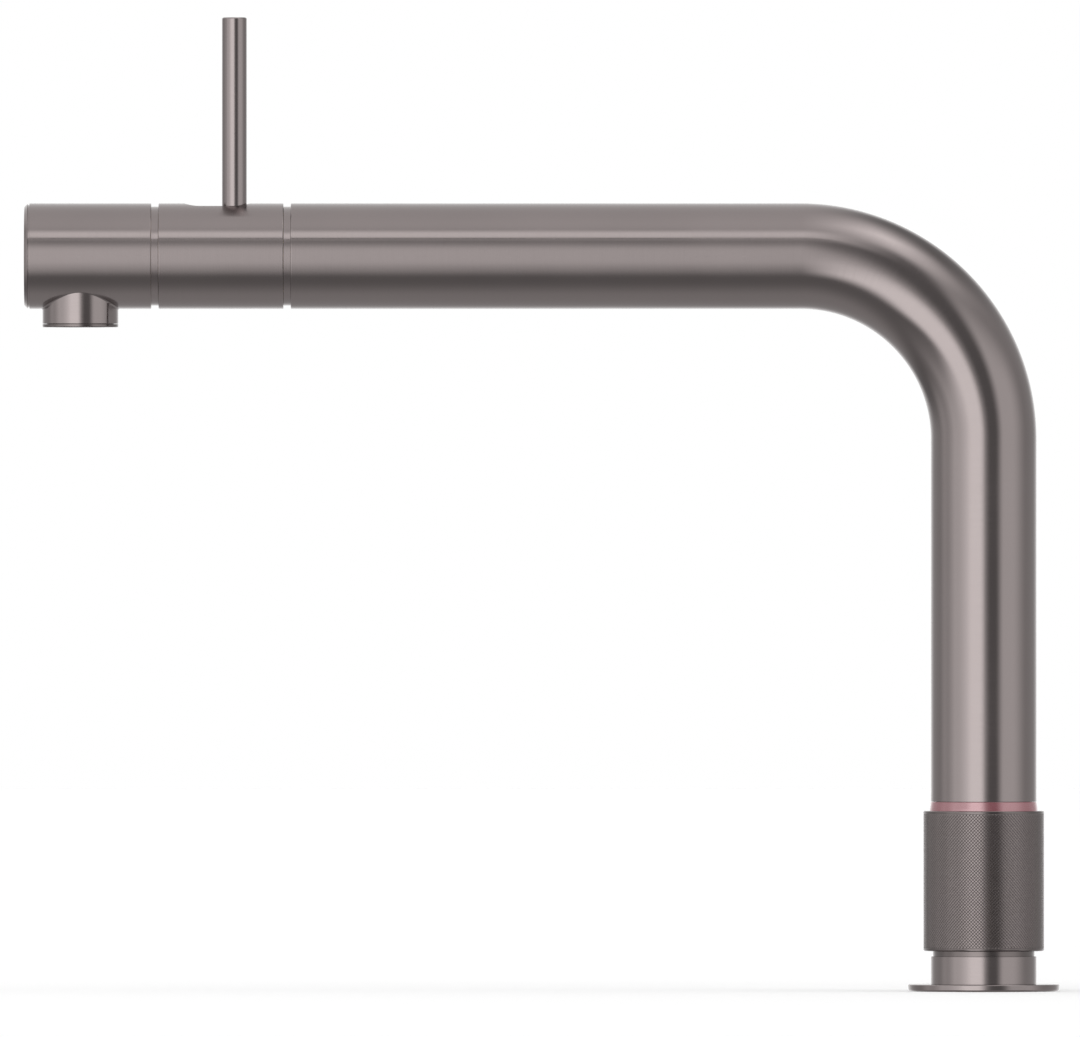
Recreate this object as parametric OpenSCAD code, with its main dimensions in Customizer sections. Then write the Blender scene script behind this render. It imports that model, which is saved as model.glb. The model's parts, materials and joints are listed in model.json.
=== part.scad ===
// Kitchen tap for boiling, hot and cold water, with the mixing lever near the tip of the spout.
// Origin: centre of the flange's underside, on the column's axis. +Z is up and the arm points along -X.
// The column swivels on a fixed spigot. A knurled ring round the spigot is pushed down and turned for
// boiling water. A sleeve round the arm turns for temperature, and the lever in its slot tilts for flow.

/* [Spout tube] */
// Outside diameter of the column and the arm
tube_d = 32; // [31.5:0.5:35]
// Wall of the spout tube
tube_wall = 1.5; // [1.2:0.1:1.6]
// Height of the arm's axis above the worktop
arm_z = 223; // [205:1:260]
// Radius of the bend, on its centreline
bend_r = 55.5; // [45:0.5:70]
// Reach from the column's axis to the outlet's axis
reach = 274; // [240:1:320]

/* [Mixing head] */
// Length of the outlet end, from the tip to the first groove
tip_len = 38.5; // [36:0.5:46]
// Length of the turning sleeve between the grooves
sleeve_len = 37.9; // [37.5:0.1:44]
// Width of each groove
groove_w = 2.2; // [1.6:0.1:3]
// Depth of each groove
groove_depth = 1; // [0.6:0.1:1.3]
// Distance from the tip to the outlet's axis
outlet_inset = 17; // [15:0.5:19]
// Outside diameter of the outlet
outlet_d = 23; // [22.6:0.1:25]
// Distance from the arm's axis down to the outlet's lower edge
outlet_drop = 21.6; // [21:0.2:28]

/* [Lever] */
// Diameter of the lever
lever_d = 7.5; // [6:0.1:8]
// Height of the lever above the arm
lever_rise = 56.4; // [40:0.2:80]
// Distance from the sleeve's inner end to the lever's axis
lever_inset = 14.9; // [14.8:0.1:15.5]
// Clearance between the lever and each side of its slot
slot_clear = 0.4; // [0.3:0.05:0.7]

/* [Control ring] */
// Length of the knurled ring
ring_len = 42.5; // [41:0.5:55]
// Wall of the knurled ring
ring_wall = 1.7; // [1.6:0.1:3]
// Space between the flange and the ring
ring_gap = 10.1; // [9:0.1:16]
// How far the ring can be pushed down
push_travel = 3; // [2:0.1:4]
// Number of knurls round the ring
knurls = 96; // [60:4:120]
// Depth of a knurl
knurl_depth = 0.3; // [0.2:0.05:0.4]
// Height of the light ring that shows above the knurled ring
glow_h = 2.6; // [1.5:0.1:5]

/* [Base] */
// Diameter of the flange
flange_d = 46; // [44:0.5:60]
// Thickness of the flange
flange_t = 2.1; // [1.6:0.1:4]
// Diameter of the threaded shank
shank_d = 30; // [29:0.5:31]
// Length of the shank below the worktop
shank_len = 55; // [55:1:90]
// Thickness of the worktop that the nut is set for
worktop_t = 30; // [12:1:40]

/* [Water tubes] */
// Outside diameter of the three inner tubes
water_d = 7; // [6:0.1:7.2]
// Wall of the inner tubes
water_wall = 1; // [0.7:0.1:1.2]

/* [Hidden] */

// Clearances: a seated fit, a running fit, a visible gap, and an overlap that cuts cleanly through a face
fit = 0.05;
run = 0.1;
gap = 0.3;
cut = 1;

$fn = 96;
tube_r = tube_d / 2;
bore_r = tube_r - tube_wall;

// Colours of the real finishes
satin_steel = [0.56, 0.53, 0.52];
dark_steel = [0.42, 0.40, 0.39];
brass = [0.78, 0.64, 0.36];
steel = [0.72, 0.72, 0.74];
white_plastic = [0.90, 0.90, 0.88];
black_rubber = [0.10, 0.10, 0.10];
board_green = [0.10, 0.35, 0.20];
glow_red = [0.80, 0.30, 0.32];
ceramic = [0.93, 0.92, 0.88];

// Heights up the base and the column
neck_relief = 1.6;       // from the neck's shoulder to the ring
spring_lift = 1.8;       // from the ring's lower end to the spring's seat
spring_wire = 1.2;
spring_turns = 4;
spring_spare = 1;        // what is left between the coils when the ring is pushed right down
spring_h = (spring_turns + 1) * spring_wire + spring_spare + push_travel;
clip_t = 1;
clip_below_boards = 3;   // from the carrier's circlip to the light's board
boards_below_top = 8.2;  // from the light's board to the ring's upper end
board_t = 1.5;
ring_z = flange_t + ring_gap;
ring_top = ring_z + ring_len;
neck_top = ring_z - neck_relief;
spring_z = ring_z + spring_lift;
carrier_z = spring_z + spring_h;
board_z = ring_top - boards_below_top;
clip_z = board_z - clip_below_boards;
glow_top = ring_top + glow_h;
column_z = glow_top + 0.2;

// Radii round the column, from the inside out
spigot_bore = 10;
spigot_r = 11.5;
shoulder_r = spigot_r + 1.1;
glow_r = tube_r + gap;
ring_bore = glow_r + gap;
ring_r = ring_bore + ring_wall;
carrier_r = ring_bore - run;
carrier_wall = 3;
lower_r = carrier_r - carrier_wall - run;
key_w = 3;
key_depth = 1.1;
key_z = carrier_z - push_travel - 1;

// The flange's seal, and the boards inside the base
seal_out = flange_d / 2 - 2.3;
seal_in = seal_out - 2.2;
seal_h = 1;
magnet_z = carrier_z + 2;
sensor_z = magnet_z - 8;
sensor_len = 16;
sensor_t = 1;
board_half_w = 4;
led_count = 6;
led_size = [0.8, 1.6, 0.7];
led_circle = (shoulder_r + glow_r) / 2;

// What holds the ring on its carrier, and what it turns between
retainer_z = carrier_z + 4;
retainer_half = 0.55;
turn_pin_r = 1.4;
turn_z = clip_z - 4.5;
turn_range = 90;
magnet_r = 1.5;
magnet_t = 0.9;
spring_mean_r = (lower_r + ring_bore) / 2;   // middle of the wire, halfway between the neck and the ring

// The swivel inside the column
bearing_wall = 1.4;
bearing_r = spigot_r + fit + bearing_wall;
bearing_len = 8;
bearing_flange = 0.8;
collar_len = 42;
collar_z = glow_top + bearing_flange + fit;
collar_top = collar_z + collar_len;
spigot_top = collar_top + 4;
socket_depth = 10.5;
seal_inset = 13;         // from the collar's lower end to its first seal
seal_step = 5;
stop_inset = 13;         // from the collar's upper end to the stop pin
stop_z = collar_top - stop_inset;
swivel_half = 135;
stop_pin_r = 1.5;

// Water tubes, in the plane of the bend and across it, seen from the tube's centreline
water_r = water_d / 2;
water_circle = 5.6;
boiling_at = [-water_circle, 0];
hot_at = [water_circle / 2, -water_circle * sin(60)];
cold_at = [water_circle / 2, water_circle * sin(60)];
tube_places = [hot_at, cold_at, boiling_at];
socket_len = 6;
spacer_len = 6;

// The shank and what clamps the worktop
shank_r = shank_d / 2;
shank_wall = 3.5;
shank_bore = shank_r - shank_wall;
shank_plug_r = shank_r - 2;
shank_plug_h = 7;
washer_r = 24;
rubber_t = 2;
washer_t = 1.5;
nut_t = 8;
nut_flats = 40;
manifold_h = 10;
manifold_z = -shank_len + 1;
tubes_z = manifold_z + manifold_h - 4;
port_r = 4;
port_len = 5;

// Places along the arm
tip_x = -(reach + outlet_inset);
tip_end = tip_x + tip_len;
sleeve_x0 = tip_end + groove_w;
sleeve_x1 = sleeve_x0 + sleeve_len;
arm_x = sleeve_x1 + groove_w;
plug_len = 24;
outlet_plug = 9.5;       // how far the outlet's body reaches into the outlet end
jet_inset = 4;           // from the outlet end's inner edge to the boiling water's cross channel
plug_x = arm_x + plug_len;
floor_r = tube_r - groove_depth;
journal_wall = 0.9;
journal_r = bore_r - journal_wall;
journal_len = 7;
valve_face = sleeve_x1 - journal_len;
saddle_x = sleeve_x0 + journal_len;
cap_t = 1.1;

// The lever, its pivot and its slot
tilt_max = 28;
lever_r = lever_d / 2;
lever_x = sleeve_x1 - lever_inset;
pivot_arm = 6.3;         // from the stem's pivot to the lever's axis
pivot_x = lever_x + pivot_arm;
hub_r = 4;
hub_len = 5.8;
hub_top = 6.5;
stem_r = 2.5;
foot_arm = 5;            // from the pivot to the stem's foot
foot_r = 1.6;
foot_neck_r = 1.5;
pin_r = 1;
stud_r = 2;
slot_r = lever_r + slot_clear;
// Where the tilted lever's axis crosses the arm's surface, along X from the pivot
tilted_x = -pivot_arm * cos(tilt_max) - (tube_r + pivot_arm * sin(tilt_max)) * tan(tilt_max);
slot_end_clear = 1;

// The cartridge
cartridge_r = 8.35;
chamber_r = 6.9;
turret_r = 6;
turret_face = pivot_x - 1.5;
turret_in = pivot_x + foot_arm - run;
housing_web = 0.6;
nut_len = 2;
carrier_x0 = pivot_x + foot_arm;
disc_split = carrier_x0 + 1.8;
moving_x1 = disc_split + 1.7;
fixed_x0 = moving_x1 + fit;
fixed_x1 = fixed_x0 + 3;
seal_x1 = fixed_x1 + 0.8;
moving_r = 5.6;
moving_drop = 1.2;       // how low the moving disc stands when the tap is shut
pocket_r = 3.1;
port_bore = 1;
hot_port = [-1.7, -3.2];
cold_port = [-1.7, 3.2];
mixed_port = [2, 0];

// Channels in the saddle that carries water past the lever
saddle_in = 8.7;
saddle_out = journal_r - run;
channel_r = 1.8;
channel_circle = (saddle_in + saddle_out) / 2;
mixed_angle = 270;
boiling_angle = 310;
screw_angles = [228, 332];
screw_r = 1.25;
saddle_half = 75;
mixed_x = seal_x1 + 4;
boiling_x = plug_x - socket_len - 4;
port_step = 2.2;

// The outlet below the tip
outlet_x = -reach;
outlet_r = outlet_d / 2;
rim_t = 1.1;
rim_z = -outlet_drop;                 // all outlet heights are from the arm's axis
thread_r = outlet_r - 1.3;
cage_wall = 1.25;
cage_bore = thread_r - fit - cage_wall;
seat_z = -tube_r;
lip_t = 0.6;
seal_t = 1.15;
screen_t = 0.9;
nozzle_r = 2;
nozzle_bore = 1.4;
nozzle_bend = 5;

// Points of a toothed outline with n teeth between two radii
function teeth(n, outer, inner) = [
    for (i = [0 : 2 * n - 1]) let (r = i % 2 == 0 ? outer : inner, a = 180 * i / n) [r * cos(a), r * sin(a)]
];

// A turned ring about Z between two radii and two heights
module ring(inner, outer, from, to) {
    rotate_extrude() translate([inner, from]) square([outer - inner, to - from]);
}

// A turned solid about Z from an outline of [radius, height] points
module turned(outline) {
    rotate_extrude() polygon(outline);
}

// A sector of a ring about Z
module sector(inner, outer, from, to, start, end) {
    rotate([0, 0, start]) rotate_extrude(angle = end - start) translate([inner, from])
        square([outer - inner, to - from]);
}

// Places children on the arm's axis, with their Z along +X and their +X pointing down
module on_arm() {
    translate([0, 0, arm_z]) rotate([0, 90, 0]) children();
}

// Places children round the arm's axis: 90 degrees is up and 270 degrees is down
module round_arm(radius, angle) {
    translate([-radius * sin(angle), radius * cos(angle), 0]) children();
}

// A rod along Z between two heights
module rod(r, from, to) {
    translate([0, 0, from]) cylinder(r = r, h = to - from);
}

// The cut face of a tube, at its distance from the bend's centre
module tube_face(r, wall, off) {
    translate([bend_r + off, 0]) difference() {
        circle(r);
        circle(r - wall);
    }
}

// A hollow tube that climbs the column, turns through the bend and runs along the arm.
// at is its offset from the centreline: away from the bend's centre, and across the plane of the bend.
module bent_tube(r, wall, at, from_z, to_x) {
    rise = arm_z - bend_r - from_z;
    level = -bend_r - to_x;
    translate([-bend_r, at[1], arm_z - bend_r]) rotate([90, 0, 0]) {
        rotate([90, 0, 0]) linear_extrude(rise) tube_face(r, wall, at[0]);
        rotate_extrude(angle = 90) tube_face(r, wall, at[0]);
        rotate([90, 0, 90]) translate([0, 0, -level]) linear_extrude(level) tube_face(r, wall, at[0]);
    }
}

// A split ring that snaps into a groove
module circlip(inner, outer, z, opening) {
    difference() {
        ring(inner, outer, z, z + clip_t);
        translate([0, -opening / 2, z - cut]) cube([outer + cut, opening, clip_t + 2 * cut]);
    }
}

// Base and worktop clamp

module mount_shank() {
    color(brass) turned([
        [shank_bore, -shank_len], [shank_r - cut, -shank_len], [shank_r, -shank_len + cut],
        [shank_r, flange_t], [shank_plug_r, flange_t], [shank_plug_r, flange_t + shank_plug_h],
        [shank_bore, flange_t + shank_plug_h]
    ]);
}

module shank_nut() {
    z = -worktop_t - rubber_t - washer_t - nut_t;
    color(brass) difference() {
        translate([0, 0, z]) cylinder(r = nut_flats / sqrt(3), h = nut_t, $fn = 6);
        rod(shank_r + fit, z - cut, z + nut_t + cut);
    }
}

module pressure_washer() {
    color(steel) ring(shank_r + gap, washer_r, -worktop_t - rubber_t - washer_t, -worktop_t - rubber_t);
}

module rubber_washer() {
    color(black_rubber) ring(shank_r + gap, washer_r, -worktop_t - rubber_t, -worktop_t);
}

module flange() {
    bevel = 0.4;
    r = flange_d / 2;
    color(satin_steel) difference() {
        turned([
            [shank_r + run, 0], [r - bevel / 2, 0], [r, bevel / 2], [r, flange_t - bevel],
            [r - bevel, flange_t], [shank_r + run, flange_t]
        ]);
        ring(seal_in, seal_out, -cut, seal_h);
    }
}

module flange_seal() {
    color(black_rubber) ring(seal_in + fit, seal_out - fit, 0, seal_h - fit);
}

module sensor_pocket() {
    translate([spigot_r + 0.1, -board_half_w - run, sensor_z - run])
        cube([lower_r, 2 * (board_half_w + run), sensor_len + 2 * run]);
}

module base_body() {
    bevel = 0.6;
    relief_r = tube_r - bevel;
    socket_top = flange_t + shank_plug_h + gap;
    color(satin_steel) difference() {
        turned([
            [spigot_bore, socket_top], [shank_plug_r + fit, socket_top], [shank_plug_r + fit, flange_t],
            [tube_r, flange_t], [tube_r, neck_top - bevel],
            [relief_r, neck_top], [relief_r, spring_z], [lower_r, spring_z], [lower_r, board_z],
            [spigot_r + fit, board_z], [spigot_r + fit, board_z - socket_depth],
            [spigot_bore, board_z - socket_depth]
        ]);
        ring(lower_r - 0.6, tube_r, clip_z, clip_z + clip_t + fit);
        for (side = [90, 270]) rotate([0, 0, side])
            translate([lower_r - key_depth, -key_w / 2 - fit, key_z])
                cube([key_depth + cut, key_w + 2 * fit, board_z + cut - key_z]);
        sensor_pocket();
    }
}

// Points of one ring of the spring's wire, square to the helix, at a share t of its height
function coil_ring(t, low, high) =
    let (a = 360 * spring_turns * t, w = spring_wire / 2, z = low + w + (high - low - 2 * w) * t)
    [
        for (k = [0 : 5]) let (b = 60 * k + 30, r = spring_mean_r + w * cos(b))
            [r * cos(a), r * sin(a), z + w * sin(b)]
    ];

module return_spring() {
    steps = spring_turns * 12;
    points = [for (i = [0 : steps]) each coil_ring(i / steps, spring_z, carrier_z)];
    walls = [
        for (i = [0 : steps - 1]) for (k = [0 : 5]) let (p = 6 * i, q = p + 6, n = (k + 1) % 6)
            each [[p + k, q + n, p + n], [p + k, q + k, q + n]]
    ];
    ends = [
        for (k = [1 : 4]) each [[0, k, k + 1], [6 * steps, 6 * steps + k + 1, 6 * steps + k]]
    ];
    color(steel) polyhedron(points = points, faces = concat(walls, ends));
}

// A small circuit board that reads the ring's magnets, with three sensors
module sensor_board() {
    chip = [0.6, 3, 2];
    x = spigot_r + 0.15;
    color(board_green) {
        translate([x, -board_half_w, sensor_z]) cube([sensor_t, 2 * board_half_w, sensor_len]);
        for (i = [0 : 2]) translate([x + sensor_t, -chip[1] / 2, sensor_z + 3 + 4.5 * i])
            cube([chip[0], chip[1], chip[2]]);
    }
}

module carrier_circlip() {
    color(steel) circlip(lower_r - 0.55, lower_r + 1.2, clip_z, 5);
}

module led_board() {
    color(board_green) ring(shoulder_r + fit, glow_r - 0.1, board_z, board_z + board_t);
}

module led_chips() {
    color(ceramic) for (i = [0 : led_count - 1]) rotate([0, 0, 360 * i / led_count])
        translate([led_circle - led_size[0] / 2, -led_size[1] / 2, board_z + board_t]) cube(led_size);
}

// The translucent ring that lights up: the part above the knurled ring narrows slightly
module light_ring() {
    z = board_z + board_t;
    recess = led_size[0] / 2 + 0.3;
    color(glow_red) difference() {
        turned([
            [shoulder_r + fit, z], [glow_r, z], [glow_r, ring_top + 0.6], [tube_r, glow_top],
            [shoulder_r + fit, glow_top]
        ]);
        ring(led_circle - recess, led_circle + recess, z - cut, z + led_size[2] + 0.2);
    }
}

module swivel_spigot() {
    groove = 0.5;
    z = board_z - socket_depth + fit;
    color(steel) difference() {
        turned([
            [spigot_bore, z], [spigot_r, z], [spigot_r, board_z], [shoulder_r, board_z],
            [shoulder_r, glow_top], [spigot_r, glow_top], [spigot_r, spigot_top - groove],
            [spigot_r - groove, spigot_top],
            [spigot_bore, spigot_top]
        ]);
        ring(spigot_r - groove, tube_r, collar_top + fit, collar_top + clip_t + 2 * fit);
        translate([0, 0, stop_z]) rotate([0, 90, 0]) rod(stop_pin_r + fit, 0, tube_r);
    }
}

module lower_bearing() {
    color(white_plastic) turned([
        [spigot_r + fit, glow_top], [bore_r - run, glow_top], [bore_r - run, glow_top + bearing_flange],
        [bearing_r, glow_top + bearing_flange], [bearing_r, collar_z + bearing_len],
        [spigot_r + fit, collar_z + bearing_len]
    ]);
}

module upper_bearing() {
    color(white_plastic) ring(spigot_r + fit, bearing_r, collar_top - bearing_len, collar_top);
}

module spigot_seals() {
    color(black_rubber) for (z = [seal_inset, seal_inset + seal_step])
        translate([0, 0, collar_z + z]) rotate_extrude() translate([(spigot_r + bearing_r + fit) / 2, 0])
            circle(bearing_wall / 2, $fn = 24);
}

// A pin fixed in the spigot, which the collar's groove runs against at each end of the swivel
module swivel_stop() {
    color(steel) translate([0, 0, stop_z]) rotate([0, 90, 0])
        rod(stop_pin_r, spigot_bore + gap, bearing_r + 0.5);
}

module spigot_circlip() {
    color(steel) circlip(spigot_r - 0.45, bearing_r + 1, collar_top + fit, 6);
}

// Control ring

module ring_carrier() {
    color(white_plastic) difference() {
        union() {
            ring(lower_r + run, carrier_r, carrier_z, clip_z - fit);
            for (side = [90, 270]) rotate([0, 0, side])
                translate([lower_r - key_depth + run, -key_w / 2, carrier_z])
                    cube([key_depth + 0.5, key_w, clip_z - fit - carrier_z]);
        }
        ring(carrier_r - retainer_half - fit, carrier_r + cut, retainer_z - fit, retainer_z + clip_t + fit);
        translate([0, 0, turn_z]) rotate([0, -90, 0]) rod(turn_pin_r + fit, lower_r + 0.5, carrier_r + cut);
    }
}

// A pin in the carrier, which stops the ring at each end of its quarter turn
module turn_stop() {
    color(steel) translate([0, 0, turn_z]) rotate([0, -90, 0])
        rod(turn_pin_r, lower_r + 0.55, ring_bore + 0.6);
}

module control_ring() {
    rim = 1.2;
    bevel = 0.3;
    core_r = ring_r - knurl_depth / 2 - 0.2;
    pin_angle = asin(turn_pin_r / ring_bore) + 0.7;
    color(dark_steel) difference() {
        union() {
            turned([
                [tube_r + 0.25, ring_z], [ring_r - bevel, ring_z], [ring_r, ring_z + bevel],
                [ring_r, ring_z + rim], [core_r, ring_z + rim], [core_r, ring_top - rim],
                [ring_r, ring_top - rim], [ring_r, ring_top - bevel], [ring_r - bevel, ring_top],
                [ring_bore, ring_top], [ring_bore, ring_z + rim], [tube_r + 0.25, ring_z + rim]
            ]);
            translate([0, 0, ring_z + rim]) linear_extrude(ring_len - 2 * rim) difference() {
                polygon(teeth(knurls, ring_r - fit, ring_r - knurl_depth));
                circle(ring_bore);
            }
        }
        ring(ring_bore - cut, ring_bore + retainer_half, retainer_z - fit, retainer_z + clip_t + fit);
        sector(
            ring_bore - cut, ring_bore + 0.7, turn_z - turn_pin_r - run, turn_z + turn_pin_r + run,
            180 - turn_range - pin_angle, 180 + pin_angle
        );
        for (a = [0, -turn_range]) rotate([0, 0, a]) translate([0, 0, magnet_z]) rotate([0, 90, 0])
            rod(magnet_r + fit, ring_bore - cut, ring_bore + magnet_t + run);
    }
}

module ring_retainer() {
    color(steel) circlip(carrier_r - retainer_half + fit, ring_bore + retainer_half - fit, retainer_z, 6);
}

module ring_magnets() {
    color(steel) for (a = [0, -turn_range]) rotate([0, 0, a]) translate([0, 0, magnet_z]) rotate([0, 90, 0])
        rod(magnet_r, ring_bore + fit, ring_bore + fit + magnet_t);
}

// Spout

module spout_tube() {
    color(satin_steel) bent_tube(tube_r, tube_wall, [0, 0], column_z, arm_x);
}

module spout_collar() {
    pin_angle = asin(stop_pin_r / bearing_r) + 1;
    half = swivel_half + pin_angle;
    color(brass) difference() {
        ring(bearing_r + run, bore_r - fit, collar_z, collar_top);
        sector(
            bearing_r - cut, bearing_r + 0.85, stop_z - stop_pin_r - run, stop_z + stop_pin_r + run,
            -half, half
        );
    }
}

module hot_tube() {
    color(steel) bent_tube(water_r, water_wall, hot_at, tubes_z, plug_x - socket_len);
}

module cold_tube() {
    color(steel) bent_tube(water_r, water_wall, cold_at, tubes_z, plug_x - socket_len);
}

module boiling_tube() {
    color(steel) bent_tube(water_r, water_wall, boiling_at, tubes_z, plug_x - socket_len);
}

// The block at the foot of the tubes, with three threaded ports for the supply hoses
module inlet_manifold() {
    color(brass) difference() {
        rod(shank_bore - 0.6, manifold_z, manifold_z + manifold_h);
        for (at = tube_places) translate(at) {
            rod(port_r, manifold_z - cut, manifold_z + port_len);
            rod(water_r - water_wall, manifold_z, manifold_z + manifold_h);
            rod(water_r + fit, tubes_z, manifold_z + manifold_h + cut);
        }
    }
}

// One disc that keeps the water tubes apart, about Z
module tube_spacer(places) {
    difference() {
        rod(bore_r - run, 0, spacer_len);
        for (at = places) translate([at[0], at[1], 0]) rod(water_r + fit, -cut, spacer_len + cut);
    }
}

module tube_spacers() {
    color(white_plastic) {
        translate([0, 0, (spigot_top + arm_z - bend_r - spacer_len) / 2]) tube_spacer(tube_places);
        on_arm() translate([0, 0, (plug_x - bend_r) / 2])
            tube_spacer([for (at = tube_places) [-at[0], at[1]]]);
    }
}

// Valve body, with the saddle that carries the outlet past the lever

// A channel drilled across the arm, between two points given as [radius, angle] round its axis.
// It is a little narrower than the bore of radius r that it leaves, and that bore runs on past it.
module cross_channel(r, x, from, to) {
    p = [-from[0] * sin(from[1]), from[0] * cos(from[1])];
    q = [-to[0] * sin(to[1]), to[0] * cos(to[1])];
    d = q - p;
    translate([p[0], p[1], x]) rotate([0, 0, atan2(d[1], d[0])]) rotate([0, 90, 0]) rod(0.9 * r, 0, norm(d));
}

module screw_holes(r, from, to) {
    for (a = screw_angles) round_arm(channel_circle, a) rod(r, from, to);
}

module valve_body() {
    color(brass) on_arm() difference() {
        union() {
            turned([
                [0, seal_x1], [cartridge_r + fit, seal_x1], [cartridge_r + fit, valve_face],
                [journal_r, valve_face], [journal_r, sleeve_x1 + run], [floor_r, sleeve_x1 + run],
                [floor_r, arm_x],
                [bore_r - fit, arm_x], [bore_r - fit, plug_x], [0, plug_x]
            ]);
            sector(saddle_in, saddle_out, saddle_x, valve_face + cut, -saddle_half, saddle_half);
        }
        for (at = tube_places) translate([-at[0], at[1], 0])
            rod(water_r + fit, plug_x - socket_len, plug_x + cut);
        for (at = [hot_at, cold_at])
            translate([-at[0], at[1], 0]) rod(water_r - water_wall, seal_x1 + port_step, plug_x);
        for (port = [hot_port, cold_port]) translate(port)
            rod(port_bore, seal_x1 - cut, seal_x1 + port_step + cut);
        translate([water_circle, 0, 0]) rod(channel_r, boiling_x - channel_r, plug_x);
        cross_channel(channel_r, boiling_x, [water_circle, 270], [channel_circle, boiling_angle]);
        round_arm(channel_circle, boiling_angle) rod(channel_r, saddle_x - cut, boiling_x + channel_r);
        translate(mixed_port) rod(port_bore, seal_x1 - cut, mixed_x + port_bore);
        cross_channel(port_bore, mixed_x, [mixed_port[0], mixed_angle], [channel_circle, mixed_angle]);
        round_arm(channel_circle, mixed_angle) rod(channel_r, saddle_x - cut, mixed_x + port_bore);
        screw_holes(screw_r, saddle_x - cut, saddle_x + 8);
    }
}

module cartridge_housing() {
    neck_r = turret_r + 1;
    shoulder = valve_face + nut_len;
    color(white_plastic) on_arm() turned([
        [turret_r + fit, valve_face], [neck_r, valve_face], [neck_r, shoulder], [cartridge_r, shoulder],
        [cartridge_r, seal_x1 - fit], [chamber_r, seal_x1 - fit], [chamber_r, shoulder + housing_web],
        [turret_r + fit, shoulder + housing_web]
    ]);
}

module cartridge_nut() {
    color(steel) on_arm() difference() {
        ring(turret_r + 1 + fit, cartridge_r, valve_face, valve_face + nut_len);
        for (a = [0 : 90 : 270]) rotate([0, 0, a]) translate([cartridge_r - 0.9, -0.75, valve_face - cut])
            cube([cut, 1.5, cut + 1]);
    }
}

// Ports shared by the fixed disc and the seal behind it
module disc_ports(r, from, to) {
    for (port = [hot_port, cold_port, mixed_port]) translate(port) rod(r, from, to);
}

module fixed_disc() {
    color(ceramic) on_arm() difference() {
        rod(chamber_r - run, fixed_x0, fixed_x1);
        disc_ports(port_bore, fixed_x0 - cut, fixed_x1 + cut);
    }
}

module cartridge_seal() {
    color(black_rubber) on_arm() difference() {
        rod(chamber_r - run, fixed_x1, seal_x1 - fit);
        disc_ports(port_bore + 0.2, fixed_x1 - cut, seal_x1 + cut);
    }
}

module outlet_body() {
    end = tip_end - outlet_plug;
    jet_x = tip_end - jet_inset;
    color(brass) on_arm() difference() {
        turned([
            [0, end], [bore_r - fit, end], [bore_r - fit, tip_end], [floor_r, tip_end],
            [floor_r, sleeve_x0 - run], [journal_r, sleeve_x0 - run], [journal_r, saddle_x], [0, saddle_x]
        ]);
        round_arm(channel_circle, mixed_angle) rod(channel_r, end - cut, saddle_x + cut);
        round_arm(channel_circle, boiling_angle) rod(channel_r, jet_x - channel_r, saddle_x + cut);
        cross_channel(channel_r, jet_x, [0, 0], [channel_circle, boiling_angle]);
        rod(nozzle_r + fit, end - cut, jet_x + channel_r);
        screw_holes(screw_r + run, end - cut, saddle_x + cut);
        screw_holes(2.3, end - cut, end + 3);
    }
}

module outlet_screws() {
    end = tip_end - outlet_plug;
    color(steel) on_arm() {
        screw_holes(screw_r - fit, end + 3 - fit, saddle_x + 7.5);
        screw_holes(2.2, end + 0.6, end + 3 - fit);
    }
}

// The bent jet tube that brings boiling water to the middle of the aerator
module boiling_nozzle() {
    start = tip_end - jet_inset - 1;
    elbow_x = outlet_x + nozzle_bend;
    color(steel) {
        on_arm() ring(nozzle_bore, nozzle_r, elbow_x, start);
        translate([elbow_x, 0, arm_z - nozzle_bend]) rotate([90, 0, 0]) rotate([0, 0, 90])
            rotate_extrude(angle = 90) translate([nozzle_bend, 0]) difference() {
                circle(nozzle_r, $fn = 32);
                circle(nozzle_bore, $fn = 32);
            }
        translate([outlet_x, 0, arm_z]) ring(nozzle_bore, nozzle_r, rim_z + lip_t + 0.5, -nozzle_bend);
    }
}

// Outlet end

module tip_housing() {
    boss_z = rim_z + rim_t;
    joint = 0.3;
    color(satin_steel) difference() {
        union() {
            on_arm() ring(bore_r, tube_r, tip_x + cap_t, tip_end);
            translate([outlet_x, 0, arm_z]) rod(outlet_r, boss_z, -tube_r / 2);
        }
        on_arm() rod(bore_r, tip_x, tip_end + cut);
        on_arm() ring(tube_r - joint, tube_r + cut, tip_x, tip_x + cap_t + joint);
        translate([outlet_x, 0, arm_z]) {
            rod(thread_r, boss_z - cut, seat_z);
            rod(cage_bore - 0.4, boss_z, -tube_r / 2 + cut);
        }
    }
}

module tip_cap() {
    color(satin_steel) on_arm() turned([
        [0, tip_x], [tube_r - cap_t, tip_x], [tube_r, tip_x + cap_t], [bore_r - fit, tip_x + cap_t],
        [bore_r - fit, tip_x + cap_t + 3], [bore_r - 2, tip_x + cap_t + 3], [bore_r - 2, tip_x + 2.5],
        [0, tip_x + 2.5]
    ]);
}

module aerator_housing() {
    bevel = 0.3;
    color(dark_steel) translate([outlet_x, 0, arm_z]) turned([
        [cage_bore - 0.6, rim_z], [outlet_r - bevel, rim_z], [outlet_r, rim_z + bevel],
        [outlet_r, rim_z + rim_t - bevel / 2], [thread_r - fit, rim_z + rim_t - bevel / 2],
        [thread_r - fit, seat_z - seal_t - fit], [cage_bore, seat_z - seal_t - fit],
        [cage_bore, rim_z + lip_t], [cage_bore - 0.6, rim_z + lip_t]
    ]);
}

module aerator_seal() {
    color(black_rubber) translate([outlet_x, 0, arm_z])
        ring(cage_bore - 0.4, thread_r - fit, seat_z - seal_t, seat_z - fit);
}

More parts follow.
